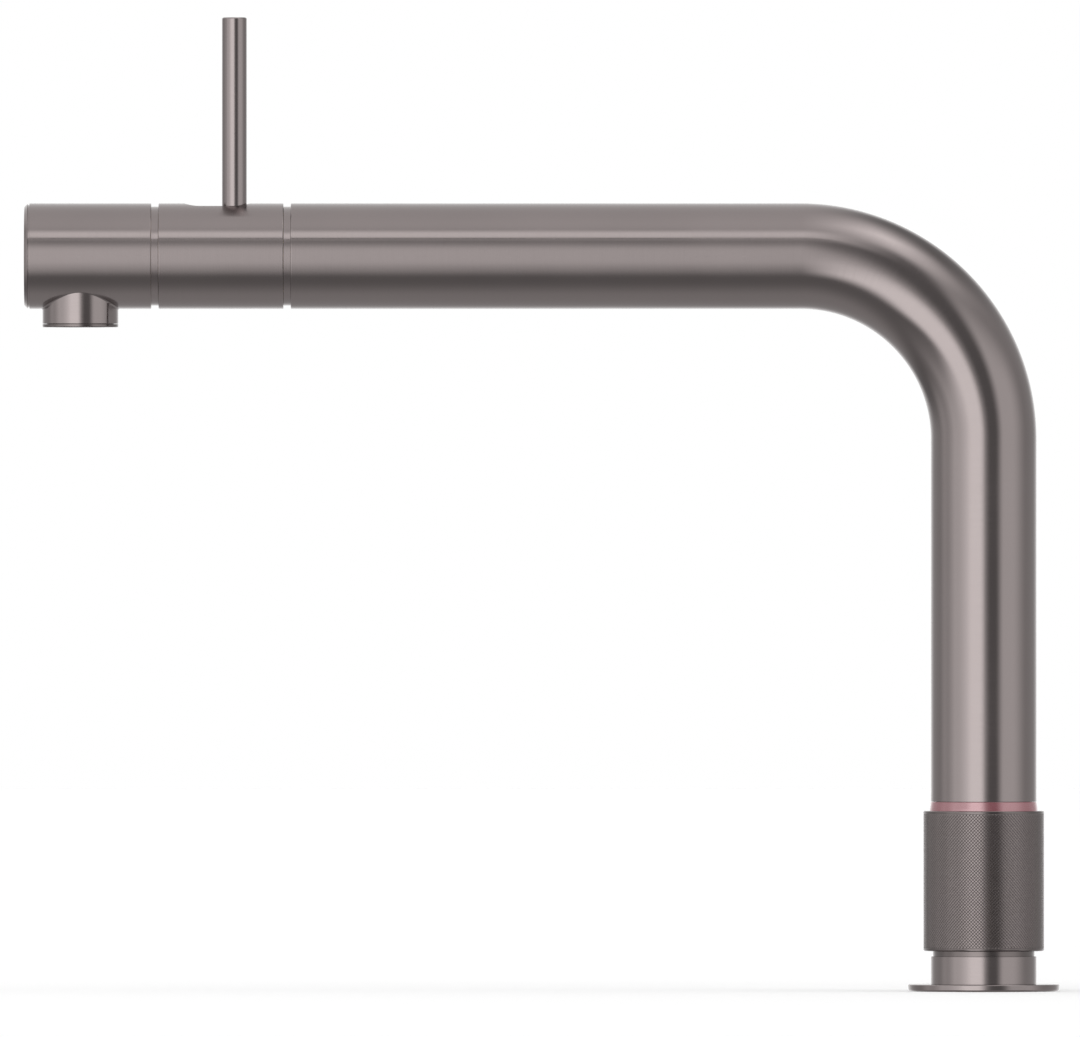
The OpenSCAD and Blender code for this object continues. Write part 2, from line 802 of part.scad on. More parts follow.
// A honeycomb that straightens the stream, round a hole for the boiling jet
module flow_straightener() {
    pitch = 2.6;
    web = 0.45;
    rim_r = cage_bore - fit;
    low = rim_z + lip_t + fit;
    high = seat_z - seal_t - screen_t - 2 * fit;
    color(white_plastic) translate([outlet_x, 0, arm_z + low]) linear_extrude(high - low) difference() {
        circle(rim_r);
        for (i = [-4 : 4]) for (j = [-4 : 4])
            let (x = pitch * (i + j / 2), y = pitch * j * sin(60), d = norm([x, y]))
                if (d > nozzle_r + pitch / 2 && d < rim_r - pitch / 2 - 0.3)
                    translate([x, y]) rotate(30) circle((pitch - web) / sqrt(3), $fn = 6);
        circle(nozzle_r + fit);
    }
}

module aerator_screen() {
    top = seat_z - seal_t - fit;
    color(steel) translate([outlet_x, 0, arm_z]) difference() {
        rod(cage_bore - fit, top - screen_t, top);
        rod(nozzle_r + fit, top - screen_t - cut, top + cut);
        for (row = [[6, 4.1], [12, 6.7]]) for (i = [1 : row[0]]) rotate([0, 0, 360 * i / row[0]])
            translate([row[1], 0, 0]) rod(0.8, top - screen_t - cut, top + cut);
    }
}

// Turning sleeve, cartridge inner parts and lever

// The slot's outline, with the lever's rest at one end and its full tilt at the other, drawn along X
module slot_outline() {
    far = pivot_x + tilted_x - lever_r * (1 / cos(tilt_max) - 1) - slot_end_clear + slot_clear;
    for (x = [far, lever_x]) translate([x, 0]) circle(slot_r);
    translate([far, -slot_r]) square([lever_x - far, 2 * slot_r]);
}

module mixer_sleeve() {
    color(satin_steel) difference() {
        on_arm() ring(bore_r, tube_r, sleeve_x0, sleeve_x1);
        translate([0, 0, arm_z]) linear_extrude(tube_r + cut) slot_outline();
    }
}

module sleeve_bearings() {
    color(white_plastic) on_arm() {
        ring(journal_r + fit, bore_r - fit, sleeve_x0 + run, saddle_x - 0.8);
        ring(journal_r + fit, bore_r - fit, valve_face + 0.6, sleeve_x1 - run);
    }
}

module cartridge_turret() {
    shoulder = valve_face + nut_len + housing_web + fit;
    color(white_plastic) difference() {
        on_arm() turned([
            [0, turret_face], [turret_r, turret_face], [turret_r, shoulder], [chamber_r - run, shoulder],
            [chamber_r - run, turret_in], [0, turret_in]
        ]);
        translate([pivot_x, stem_r + run, arm_z]) rotate([90, 0, 0]) linear_extrude(2 * (stem_r + run))
            polygon([
                [-3, -4.6], [-3, 2.8], [-1, 3.2], [foot_arm + 1, 4.6], [foot_arm + 1, -2], [0, -3.2]
            ]);
        translate([pivot_x, 0, arm_z]) rotate([90, 0, 0]) rod(pin_r + fit / 2, -turret_r, turret_r);
    }
}

module pivot_pin() {
    color(steel) translate([pivot_x, 0, arm_z]) rotate([90, 0, 0])
        rod(pin_r, -turret_r + gap, turret_r - gap);
}

module disc_carrier() {
    color(white_plastic) on_arm() difference() {
        translate([moving_drop, 0, 0]) rod(moving_r, carrier_x0, disc_split);
        rod(foot_r + 0.2, carrier_x0 - cut, disc_split + cut);
    }
}

module moving_disc() {
    color(ceramic) on_arm() difference() {
        translate([moving_drop, 0, 0]) rod(moving_r, disc_split, moving_x1);
        translate([moving_drop, 0, 0]) rod(pocket_r, moving_x1 - 0.8, moving_x1 + cut);
    }
}

module lever_rod() {
    bevel = 0.5;
    top = tube_r + lever_rise;
    color(satin_steel) translate([lever_x, 0, arm_z]) difference() {
        turned([[0, hub_top], [lever_r, hub_top], [lever_r, top - bevel], [lever_r - bevel, top], [0, top]]);
        rod(stud_r + fit, hub_top - cut, hub_top + 9);
    }
}

module lever_hub() {
    left = lever_x - hub_r + 0.3;
    color(brass) difference() {
        union() {
            on_arm() rod(hub_r, left, left + hub_len);
            translate([lever_x, 0, arm_z]) rod(hub_r, 0, hub_top);
        }
        on_arm() rod(stem_r + fit, left - cut, pivot_x);
        translate([lever_x, 0, arm_z]) rod(stud_r + fit, 0, hub_top + cut);
    }
}

module lever_stud() {
    color(steel) translate([lever_x, 0, arm_z]) rod(stud_r, stem_r + fit, hub_top + 8.5);
}

module cartridge_stem() {
    left = lever_x - hub_r + 0.5;
    color(steel) difference() {
        on_arm() {
            turned([
                [0, left], [stem_r, left], [stem_r, pivot_x + 1.6], [foot_neck_r, pivot_x + 1.6],
                [foot_neck_r, pivot_x + foot_arm], [0, pivot_x + foot_arm]
            ]);
            translate([0, 0, pivot_x + foot_arm]) sphere(foot_r, $fn = 48);
        }
        translate([pivot_x, 0, arm_z]) rotate([90, 0, 0]) rod(pin_r + fit, -stem_r - cut, stem_r + cut);
    }
}

mount_shank();
shank_nut();
pressure_washer();
rubber_washer();
flange();
flange_seal();
base_body();
return_spring();
sensor_board();
carrier_circlip();
led_board();
led_chips();
light_ring();
swivel_spigot();
lower_bearing();
upper_bearing();
spigot_seals();
swivel_stop();
spigot_circlip();
ring_carrier();
turn_stop();
control_ring();
ring_retainer();
ring_magnets();
spout_tube();
spout_collar();
hot_tube();
cold_tube();
boiling_tube();
inlet_manifold();
tube_spacers();
valve_body();
cartridge_housing();
cartridge_nut();
cartridge_seal();
fixed_disc();
outlet_body();
outlet_screws();
boiling_nozzle();
tip_housing();
tip_cap();
aerator_housing();
flow_straightener();
aerator_screen();
aerator_seal();
mixer_sleeve();
sleeve_bearings();
cartridge_turret();
pivot_pin();
disc_carrier();
moving_disc();
lever_rod();
lever_hub();
lever_stud();
cartridge_stem();
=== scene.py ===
"""Looks of a boiling water tap: satin warm-grey metal tubes in a white studio.

Sizes are in millimetres, as in the part's source, and become metres where a mesh is made.
"""

import json
import logging
import math
from dataclasses import dataclass
from enum import Enum
from typing import Protocol

import bpy
import numpy as np
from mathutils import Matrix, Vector


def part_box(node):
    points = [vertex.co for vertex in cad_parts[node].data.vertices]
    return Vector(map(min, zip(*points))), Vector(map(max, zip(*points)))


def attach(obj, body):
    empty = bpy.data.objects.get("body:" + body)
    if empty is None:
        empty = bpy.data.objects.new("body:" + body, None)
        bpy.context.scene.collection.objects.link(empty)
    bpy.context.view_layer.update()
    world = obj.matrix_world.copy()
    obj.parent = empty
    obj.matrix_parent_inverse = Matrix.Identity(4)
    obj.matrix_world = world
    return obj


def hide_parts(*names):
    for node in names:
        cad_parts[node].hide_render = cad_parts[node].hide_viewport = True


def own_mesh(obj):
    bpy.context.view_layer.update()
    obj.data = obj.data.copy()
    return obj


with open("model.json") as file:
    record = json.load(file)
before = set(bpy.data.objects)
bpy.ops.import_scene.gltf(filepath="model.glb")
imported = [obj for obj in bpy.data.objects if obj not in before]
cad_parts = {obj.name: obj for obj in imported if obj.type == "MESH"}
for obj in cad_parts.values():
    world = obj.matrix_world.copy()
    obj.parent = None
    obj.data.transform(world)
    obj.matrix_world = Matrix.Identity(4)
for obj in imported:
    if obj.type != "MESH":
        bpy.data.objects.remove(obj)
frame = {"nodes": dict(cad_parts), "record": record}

LOG = logging.getLogger("tap")

Colour = tuple[float, float, float]
Arrays = tuple[np.ndarray, ...]

X, Y, Z = 0, 1, 2
WHITE = (1.0, 1.0, 1.0)

# A millimetre in metres, and in millimetres one unit of a piece's chart and the height of the bumps
MM = 0.001
UV_MM = 100.0
BUMP = 0.05

# The part of a noise's range that a ramp stretches
NOISE = (0.3, 0.7)

# Roundings, from the least of any corner to one that shows
LEAST = 0.04
FINE = 0.05
EDGE = 0.1
MILD = 0.15
SOFT = 0.3

# The turn in radians from which an edge wears and is painted lighter as a highlight, a gap that counts
# as none, and the least divisor
WORN_SHEEN_TURN = 0.35
NEAR = 1e-6
TINY = 1e-12


class Slot(Enum):
    """Material slots of the record."""

    SATIN = "satin_gunmetal"
    DARK = "dark_gunmetal"
    BRASS = "brass"
    STEEL = "steel"
    PLASTIC = "white_plastic"
    RUBBER = "black_rubber"
    GLOW = "glow_ring"
    BOARD = "circuit_board"
    CERAMIC = "ceramic"


class Coordinates(Enum):
    """Where a finish takes its pattern's coordinates from."""

    SURFACE = "UV"
    OBJECT = "Object"


# Surfaces worked out as whole arrays


class Path(Protocol):
    """A line that outlines are carried along."""

    def frames(self, along: np.ndarray) -> Arrays:
        """Centre, first side, second side and direction at each place along the line."""
        ...


@dataclass(frozen=True)
class StraightPath:
    """A straight line: centre = origin + along * direction."""

    origin: tuple[float, float, float]
    direction: tuple[float, float, float] = (0.0, 0.0, 1.0)
    side: tuple[float, float, float] = (1.0, 0.0, 0.0)

    def frames(self, along: np.ndarray) -> Arrays:
        """The second side is direction x side, so the three stay square to each other.

        Args:
            along: Places along the line, in any array shape.

        Returns:
            Centre, first side, second side and direction, each with a last axis of 3.
        """
        direction = np.array(self.direction)
        side = np.array(self.side)
        centre = np.array(self.origin) + np.asarray(along)[..., None] * direction
        ones = np.ones_like(centre)
        return centre, ones * side, ones * np.cross(direction, side), ones * direction


@dataclass(frozen=True)
class BentPath:
    """The spout's centreline: up the column, round a quarter bend, and out along the arm."""

    foot_z: float
    arm_z: float
    bend_r: float

    @property
    def rise(self) -> float:
        """Length of the straight column."""
        return self.arm_z - self.bend_r - self.foot_z

    @property
    def quarter(self) -> float:
        """Length of the bend on the centreline."""
        return self.bend_r * math.pi / 2

    def frames(self, along: np.ndarray) -> Arrays:
        """The bend angle is the length past the column over the bend's radius, held in 0 to 90 degrees.

        Args:
            along: Lengths along the centreline from the foot of the column.

        Returns:
            Centre, side away from the bend's centre, side across the bend, and direction.
        """
        along = np.asarray(along, float)
        angle = np.clip((along - self.rise) / self.bend_r, 0, math.pi / 2)
        up = np.clip(along, None, self.rise)
        out = np.clip(along - self.rise - self.quarter, 0, None)
        sin, cos, zero = np.sin(angle), np.cos(angle), np.zeros_like(along)
        centre = np.stack(
            [-self.bend_r * (1 - cos) - out, zero, self.foot_z + up + self.bend_r * sin], -1
        )
        away = np.stack([cos, zero, sin], -1)
        across = np.stack([zero, zero + 1, zero], -1)
        return centre, away, across, np.stack([-sin, zero, cos], -1)


@dataclass(frozen=True)
class CoilPath:
    """The middle of a coiled wire, which climbs more slowly at both of its ends."""

    low: float
    climb: float
    radius: float
    turns: float
    slower: float = 0.45

    @property
    def length(self) -> float:
        """Length of the wire, seen from above."""
        return 2 * math.pi * self.radius * self.turns

    def frames(self, along: np.ndarray) -> Arrays:
        """The height is low + climb * (share - slower * sin(2 pi share) / (2 pi)).

        The share is the length along the wire over the whole length.

        Args:
            along: Lengths along the wire, seen from above.

        Returns:
            Centre, side away from the coil's axis, side up from the wire, and direction.
        """
        share = np.asarray(along, float) / self.length
        wave = 2 * math.pi * share
        angle = wave * self.turns
        height = self.low + self.climb * (share - self.slower * np.sin(wave) / (2 * math.pi))
        steep = self.climb * (1 - self.slower * np.cos(wave)) / self.length
        away = np.stack([np.cos(angle), np.sin(angle), np.zeros_like(angle)], -1)
        centre = self.radius * away
        centre[..., 2] = height
        direction = unit(np.stack([-np.sin(angle), np.cos(angle), steep], -1))
        return centre, away, np.cross(direction, away), direction


def in_scene(name: str, data: bpy.types.ID) -> bpy.types.Object:
    """Makes an object and puts it into the scene.

    Args:
        name: The object's name.
        data: Its mesh or camera.

    Returns:
        The new object.
    """
    made = bpy.data.objects.new(name, data)
    bpy.context.scene.collection.objects.link(made)
    return made


def unit(vectors: np.ndarray) -> np.ndarray:
    """Each vector divided by its length."""
    return vectors / np.maximum(np.linalg.norm(vectors, axis=-1, keepdims=True), TINY)


@dataclass(frozen=True)
class Outline:
    """A turned outline of (along, radius, rounding) corners, closed, or from pole to pole."""

    corners: tuple[tuple[float, float, float], ...]
    closed: bool = True
    steps: int = 4
    breaks: tuple[float, ...] = ()

    def trace(self) -> Arrays:
        """Rounds every corner by an arc that touches both of its sides.

        An arc starts (rounding * tan(turn / 2)) before its corner, and its points are its centre
        less the rounding times the left-hand side of the heading, while the heading turns evenly.

        Returns:
            Points (along, radius), outward normals, and the edge mask, which is 0 at an arc's ends and
            1 in its middle.
        """
        table = np.array(self.corners, float)
        flat, rounding = table[:, :2], np.maximum(table[:, 2], LEAST)
        after = np.roll(flat, -1, 0)
        if np.sum(flat[:, 0] * after[:, 1] - after[:, 0] * flat[:, 1]) < 0:
            flat, rounding = flat[::-1], rounding[::-1]
            after = np.roll(flat, -1, 0)
        come = unit(flat - np.roll(flat, 1, 0))
        leave = unit(after - flat)
        turn = np.arctan2(
            come[:, 0] * leave[:, 1] - come[:, 1] * leave[:, 0], np.sum(come * leave, 1)
        )
        left = np.stack([-come[:, 1], come[:, 0]], 1)
        radius = (np.sign(turn) * rounding)[:, None]
        centre = flat - come * (rounding * np.tan(abs(turn) / 2))[:, None] + left * radius
        share = np.linspace(0, 1, self.steps + 1)
        angle = turn[:, None] * share
        heading = np.stack(
            [
                come[:, :1] * np.cos(angle) - come[:, 1:] * np.sin(angle),
                come[:, :1] * np.sin(angle) + come[:, 1:] * np.cos(angle),
            ],
            -1,
        )
        turned = np.stack([-heading[..., 1], heading[..., 0]], -1)
        points = centre[:, None, :] - turned * radius[:, None, :]
        edge = np.sin(math.pi * share) * (abs(turn) > WORN_SHEEN_TURN)[:, None]
        if not self.closed:
            inner = slice(1, len(flat) - 1)
            points = np.concatenate([flat[:1], points[inner].reshape(-1, 2), flat[-1:]])
            turned = turned[inner].reshape(-1, 2)
            turned = np.concatenate([turned[:1], turned, turned[-1:]])
            edge = np.concatenate([[0.0], edge[inner].ravel(), [0.0]])
        points, turned, edge = points.reshape(-1, 2), turned.reshape(-1, 2), edge.ravel()
        if self.breaks:
            points, turned, edge = self._broken(points, turned, edge)
        return points, -turned, edge

    def _broken(self, points: np.ndarray, turned: np.ndarray, edge: np.ndarray) -> Arrays:
        """Adds points at the breaks on each straight side that runs past them.

        An added point is its side's start + share * (its side's end - start), and it comes after the
        side's start in the order of (side's number + share).

        Args:
            points: Points of the outline.
            turned: Left-hand sides of the headings.
            edge: Edge mask.

        Returns:
            The same three with the added points.
        """
        marks = np.array(self.breaks)
        start, end = points[:, :1], np.roll(points[:, :1], -1, 0)
        past = (marks > np.minimum(start, end) + NEAR) & (marks < np.maximum(start, end) - NEAR)
        past[-1] &= self.closed
        side, mark = np.nonzero(past)
        share = (marks[mark] - start[side, 0]) / (end[side, 0] - start[side, 0])
        order = np.argsort(np.concatenate([np.arange(len(points)), side + share]), kind="stable")
        step = np.roll(points, -1, 0)[side] - points[side]
        points = np.concatenate([points, points[side] + share[:, None] * step])[order]
        turned = np.concatenate([turned, turned[side]])[order]
        return points, turned, np.concatenate([edge, np.zeros(len(side))])[order]


@dataclass
class Surface:
    """Points, faces, normals and masks of one closed piece, in millimetres."""

    points: np.ndarray
    faces: list[np.ndarray]
    places: list[np.ndarray]
    normals: np.ndarray | None = None
    edge: np.ndarray | None = None
    crease: float = 30.0

    def outward(self) -> "Surface":
        """Turns the faces outwards.

        Where the points have normals, a group of faces is reversed if its cross products disagree with
        them. Where they have none, all faces are reversed if the volume that they enclose is negative,
        which is the sum over their triangles of first . (second x third) / 6.

        Returns:
            This surface.
        """
        volume, wrong = 0.0, []
        for faces in self.faces:
            corner = self.points[faces]
            for k in range(1, faces.shape[1] - 1):
                volume += np.sum(corner[:, 0] * np.cross(corner[:, k], corner[:, k + 1]))
            if self.normals is not None:
                cross = np.cross(corner[:, 1] - corner[:, 0], corner[:, -1] - corner[:, 0])
                wrong.append(np.sum(cross * self.normals[faces].mean(1)) < 0)
        if self.normals is None:
            wrong = [volume < 0] * len(self.faces)
        self.faces = [f[:, ::-1] if w else f for f, w in zip(self.faces, wrong)]
        self.places = [p[:, ::-1] if w else p for p, w in zip(self.places, wrong)]
        return self

    def joined(self, other: "Surface") -> "Surface":
        """Two surfaces as one piece, each keeping its own normals.

        Args:
            other: The surface whose points come last.

        Returns:
            The new surface.
        """
        shift = len(self.points)
        return Surface(
            np.concatenate([self.points, other.points]),
            self.faces + [faces + shift for faces in other.faces],
            self.places + other.places,
            np.concatenate([self.normals, other.normals]),
            np.concatenate([self.edge, other.edge]),
        )

    def piece(
        self, name: str, body: str, slot: Slot, finish: bpy.types.Material, *nodes: str
    ) -> bpy.types.Object:
        """Makes the Blender object, dresses it and ties it to the frame.

        Args:
            name: The piece's name.
            body: The body that it rides on.
            slot: The record's slot that its finish belongs to.
            finish: Its material.
            *nodes: The CAD nodes that it stands for.

        Returns:
            The new object.
        """
        mesh = bpy.data.meshes.new(name)
        faces = [face for group in self.faces for face in group.tolist()]
        mesh.from_pydata((self.points * MM).tolist(), [], faces, shade_flat=False)
        chart = mesh.uv_layers.new(name="surface")
        flat = np.concatenate([place.reshape(-1, 2) for place in self.places]) / UV_MM
        chart.data.foreach_set("uv", flat.astype(np.float32).ravel())
        mask = self.edge if self.edge is not None else np.zeros(len(self.points))
        mesh.attributes.new("edge", "FLOAT", "POINT").data.foreach_set(
            "value", mask.astype(np.float32)
        )
        if self.normals is None:
            mesh.set_sharp_from_angle(angle=math.radians(self.crease))
        else:
            mesh.normals_split_custom_set_from_vertices(unit(self.normals).tolist())
        mesh.materials.append(finish)
        piece = in_scene(name, mesh)
        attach(piece, body)
        if nodes:
            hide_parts(*nodes)
        LOG.info("%s rides on %s: %d points, %d faces", name, body, len(self.points), len(faces))
        return piece


def cell_corners(grid: np.ndarray) -> np.ndarray:
    """The four corners of each cell of a grid, one way round."""
    return np.stack([grid[:-1, :-1], grid[:-1, 1:], grid[1:, 1:], grid[1:, :-1]], 2)


def grid_faces(rows: int, columns: int, closed: bool = True) -> np.ndarray:
    """Quads between neighbouring rows and columns, where the columns always close.

    Args:
        rows: Number of rows.
        columns: Number of columns.
        closed: True if the last row meets the first.

    Returns:
        Array of point numbers, four to a face.
    """
    number = np.arange(rows * columns).reshape(rows, columns)
    return cell_corners(np.pad(number, ((0, int(closed)), (0, 1)), mode="wrap")).reshape(-1, 4)


def grid_places(length: np.ndarray, girth: np.ndarray, closed: bool = True) -> np.ndarray:
    """Surface coordinates of each quad's corners: length along the rows and girth along the columns.

    Args:
        length: Length at each row.
        girth: Girth at each column, with one more value than there are columns.
        closed: True if the last row meets the first.

    Returns:
        Array of (length, girth) pairs, four to a face, in the order of grid_faces.
    """
    ends = np.append(length, length[0]) if closed else length
    return cell_corners(np.stack(np.meshgrid(ends, girth, indexing="ij"), -1)).reshape(-1, 4, 2)


def revolved(outline: Outline, path: Path, angle: np.ndarray) -> Arrays:
    """Turns an outline round a path.

    A point is centre + radius * (cos(angle) * first side + sin(angle) * second side), and its normal
    is the same turn of the outline's normal, plus that normal's share along the path.

    Args:
        outline: The outline to turn.
        path: The line that it turns round.
        angle: Angles from the first side, in radians.

    Returns:
        The outline's points and edge mask, and the grid's points and normals.
    """
    points, normals, edge = outline.trace()
    centre, first, second, direction = path.frames(points[:, 0])
    cos, sin = np.cos(angle)[None, :, None], np.sin(angle)[None, :, None]
    outwards = cos * first[:, None] + sin * second[:, None]
    place = centre[:, None] + points[:, 1][:, None, None] * outwards
    normal = normals[:, 1][:, None, None] * outwards + (normals[:, :1] * direction)[:, None]
    return points, edge, place, normal


def swept(outline: Outline, path: Path, around: int = 128) -> Surface:
    """Closes a turned outline, by fans at its poles if it runs from pole to pole.

    Args:
        outline: The outline to turn.
        path: The line that it turns round.
        around: Number of points round the path.

    Returns:
        The closed surface, with exact normals.
    """
    angle = np.linspace(0, 2 * math.pi, around + 1)
    points, edge, place, normal = revolved(outline, path, angle[:-1])
    girth = angle * float(points[:, 1].max())
    length = points[:, 0] + points[:, 1]
    if outline.closed:
        return Surface(
            place.reshape(-1, 3),
            [grid_faces(len(points), around)],
            [grid_places(length, girth)],
            normal.reshape(-1, 3),
            np.repeat(edge, around),
        ).outward()
    inner, rows = slice(1, len(points) - 1), len(points) - 2
    ring = np.arange(around)
    after = (ring + 1) % around
    last, low, high = (rows - 1) * around, rows * around, rows * around + 1
    fans = np.concatenate(
        [
            np.stack([np.full(around, low), after, ring], 1),
            np.stack([np.full(around, high), last + ring, last + after], 1),
        ]
    )
    fan_points = np.concatenate([place[inner].reshape(-1, 3), place[:1, 0], place[-1:, 0]])
    fan_normals = np.concatenate(
        [normal[inner].reshape(-1, 3), normal[0].mean(0)[None], normal[-1].mean(0)[None]]
    )
    fan_places = fan_points[fans][..., :2]
    return Surface(
        fan_points,
        [grid_faces(rows, around, closed=False), fans],
        [grid_places(length[inner], girth, closed=False), fan_places],
        fan_normals,
        np.concatenate([np.repeat(edge[inner], around), [0.0, 0.0]]),
    ).outward()


def wrapped(
    along: np.ndarray, radius: np.ndarray, angle: np.ndarray, path: Path, crease: float
) -> Surface:
    """A closed grid whose length, radius and angle may differ at every point.

    A point is centre(along) + radius * (cos(angle) * first side + sin(angle) * second side).

    Args:
        along: Places along the path, one row of points after another.
        radius: Radii, in the same shape.
        angle: Angles in radians, in the same shape.
        path: The line that the grid is wrapped round.
        crease: Angle in degrees above which an edge between faces stays sharp.

    Returns:
        The closed surface, shaded by its own faces, which may still face inwards.
    """
    rows, columns = along.shape
    centre, first, second, _ = path.frames(along)
    place = centre + radius[..., None] * (
        np.cos(angle)[..., None] * first + np.sin(angle)[..., None] * second
    )
    girth = np.linspace(0, 2 * math.pi, columns + 1) * float(radius.max())
    return Surface(
        place.reshape(-1, 3),
        [grid_faces(rows, columns)],
        [grid_places(along.mean(1) + radius.mean(1), girth)],
        crease=crease,
    )


class Loops:
    """Loops of points, one after another, with their normals and edge mask."""

    def __init__(self) -> None:
        """Starts without a loop."""
        self.points, self.normals, self.edge = [], [], []

    def add(self, points: np.ndarray, normal: np.ndarray, mask: float = 0.0) -> None:
        """Adds one loop.

        Args:
            points: Its points.
            normal: Their normals, or one normal for all.
            mask: Its edge mask.
        """
        self.points.append(points)
        self.normals.append(np.broadcast_to(normal, points.shape))
        self.edge.append(np.full(len(points), mask))

    def roll(self, ball: Arrays, radius: float, count: int, hollow: bool = False) -> None:
        """Adds the loops of an edge or a hollow that follows a ball.

        The direction from the ball's centre turns evenly: with its whole turn as the width, it is
        (sin((1 - share) * width) * first + sin(share * width) * second) / sin(width).

        Args:
            ball: The ball's centres, and the first and the second direction from them.
            radius: Its radius.
            count: Number of loops.
            hollow: True if the metal is outside the ball, where no edge wears or gets a painted
                highlight.
        """
        centre, first, second = ball
        width = np.arccos(np.clip(np.sum(first * second, 1), -1, 1))[:, None]
        for share in np.linspace(0, 1, count):
            way = np.sin((1 - share) * width) * first + np.sin(share * width) * second
            way = way / np.sin(width)
            mask = 0.0 if hollow else math.sin(math.pi * share)
            self.add(centre + radius * way, -way if hollow else way, mask)


# Shader trees


class Tree:
    """Adds nodes to a shader tree and joins them."""

    def __init__(self, tree: bpy.types.NodeTree) -> None:
        """Starts from an empty tree."""
        self.tree = tree
        tree.nodes.clear()

    def fill(self, node: bpy.types.Node, inputs: dict) -> None:
        """Links or sets a node's inputs.

        Args:
            node: The node.
            inputs: Sockets, values or colours, by the input's name or number.
        """
        for key, value in inputs.items():
            if isinstance(value, bpy.types.NodeSocket):
                self.tree.links.new(value, node.inputs[key])
            else:
                colour = isinstance(value, tuple)
                node.inputs[key].default_value = (*value, 1.0) if colour else value

    def add(self, kind: str, inputs: dict | None = None, **settings: object) -> bpy.types.Node:
        """Adds one node.

        Args:
            kind: The node's type, without "ShaderNode" where it begins with that.
            inputs: What fill takes.
            **settings: Properties of the node, which are set before its inputs.

        Returns:
            The new node.
        """
        node = self.tree.nodes.new(kind if kind.startswith("Node") else "ShaderNode" + kind)
        for key, value in settings.items():
            setattr(node, key, value)
        self.fill(node, inputs or {})
        return node

    def math(self, operation: str, *values: object) -> bpy.types.NodeSocket:
        """Result of a Math node."""
        return self.add("Math", dict(enumerate(values)), operation=operation).outputs[0]

    def noise(self, place: object, scale: object, **more: float) -> bpy.types.NodeSocket:
        """Value of a Noise Texture."""
        return self.add("TexNoise", {"Vector": place, "Scale": scale, **more}).outputs[0]

    def ramp(
        self, value: object, low: object, high: object, start: float, end: float
    ) -> bpy.types.NodeSocket:
        """Result of a smooth Map Range from low..high to start..end."""
        inputs = {"Value": value, "From Min": low, "From Max": high, "To Min": start, "To Max": end}
        return self.add("MapRange", inputs, interpolation_type="SMOOTHSTEP").outputs[0]

    def mix(self, share: object, first: object, second: object) -> bpy.types.NodeSocket:
        """Mix of two colours, which a Mix node takes as inputs 6 and 7 and gives as output 2."""
        return self.add("Mix", {"Factor": share, 6: first, 7: second}, data_type="RGBA").outputs[2]

    def finish(self, look: dict) -> None:
        """Ends a material with a Principled shader that has the given inputs."""
        self.add("OutputMaterial", {"Surface": self.add("BsdfPrincipled", look).outputs[0]})

    def bump(self, height: object, strength: float) -> bpy.types.NodeSocket:
        """Normal of a surface that a texture lifts."""
        inputs = {"Height": height, "Strength": strength, "Distance": BUMP * MM}
        return self.add("Bump", inputs).outputs[0]


def new_group(
    name: str, takes: tuple[str, ...], gives: tuple[str, ...]
) -> tuple[Tree, bpy.types.NodeOutputs, bpy.types.Node]:
    """Starts a shader node group, where the socket Vector is a vector and every other a float.

    Args:
        name: The group's name.
        takes: Names of its inputs.
        gives: Names of its outputs.

    Returns:
        The tree, the sockets of its inputs and its output node.
    """
    group = bpy.data.node_groups.new(name, "ShaderNodeTree")
    for names, side in ((takes, "INPUT"), (gives, "OUTPUT")):
        for label in names:
            kind = "NodeSocketVector" if label == "Vector" else "NodeSocketFloat"
            group.interface.new_socket(name=label, in_out=side, socket_type=kind)
    tree = Tree(group)
    return tree, tree.add("NodeGroupInput").outputs, tree.add("NodeGroupOutput")


class Effects:
    """Shader node groups that several finishes share."""

    WEAR_SHEEN_SCALE = 90.0
    WEAR_SHEEN_LEAST = 0.45
    TINT_SCALE = 60.0

    def __init__(self) -> None:
        """Builds each group once."""
        self.grain = self._grain()
        self.wear_and_sheen = self._wear_and_sheen()
        self.speckle = self._speckle()

    def _grain(self) -> bpy.types.NodeTree:
        """Brushed grain: noise stretched across the length, and a slow cloud over it.

        Returns:
            The group.
        """
        tree, given, result = new_group(
            "brushed_grain", ("Vector", "Fine", "Stretch", "Cloud Scale"), ("Streaks", "Cloud")
        )
        x, y, z = tree.add("SeparateXYZ", {0: given["Vector"]}).outputs
        across, depth = (tree.math("DIVIDE", side, given["Stretch"]) for side in (y, z))
        squeezed = tree.add("CombineXYZ", {0: x, 1: across, 2: depth}).outputs[0]
        streaks = tree.noise(squeezed, given["Fine"], Detail=3.0, Roughness=0.6)
        cloud = tree.noise(given["Vector"], given["Cloud Scale"], Detail=2.0)
        tree.fill(result, {"Streaks": streaks, "Cloud": cloud})
        return tree.tree

    def _wear_and_sheen(self) -> bpy.types.NodeTree:
        """Edge wear and painted edge highlight: the edge mask, broken up by a fine noise.

        Returns:
            The group.
        """
        tree, given, result = new_group("edge_wear_and_sheen", ("Vector", "Edge", "Amount"), ("Mask",))
        noise = tree.noise(given["Vector"], self.WEAR_SHEEN_SCALE, Detail=3.0)
        broken = tree.ramp(noise, *NOISE, self.WEAR_SHEEN_LEAST, 1.0)
        worn_and_sheen = tree.math("MULTIPLY", given["Edge"], broken)
        tree.fill(result, {"Mask": tree.math("MULTIPLY", worn_and_sheen, given["Amount"])})
        return tree.tree

    def _speckle(self) -> bpy.types.NodeTree:
        """Fine moulded or matt texture: a small noise as a height, and a slow tint.

        Returns:
            The group.
        """
        tree, given, result = new_group("moulded_speckle", ("Vector", "Scale"), ("Height", "Tint"))
        height = tree.noise(given["Vector"], given["Scale"], Detail=4.0)
        tint = tree.noise(given["Vector"], self.TINT_SCALE, Detail=1.0)
        tree.fill(result, {"Height": height, "Tint": tint})
        return tree.tree


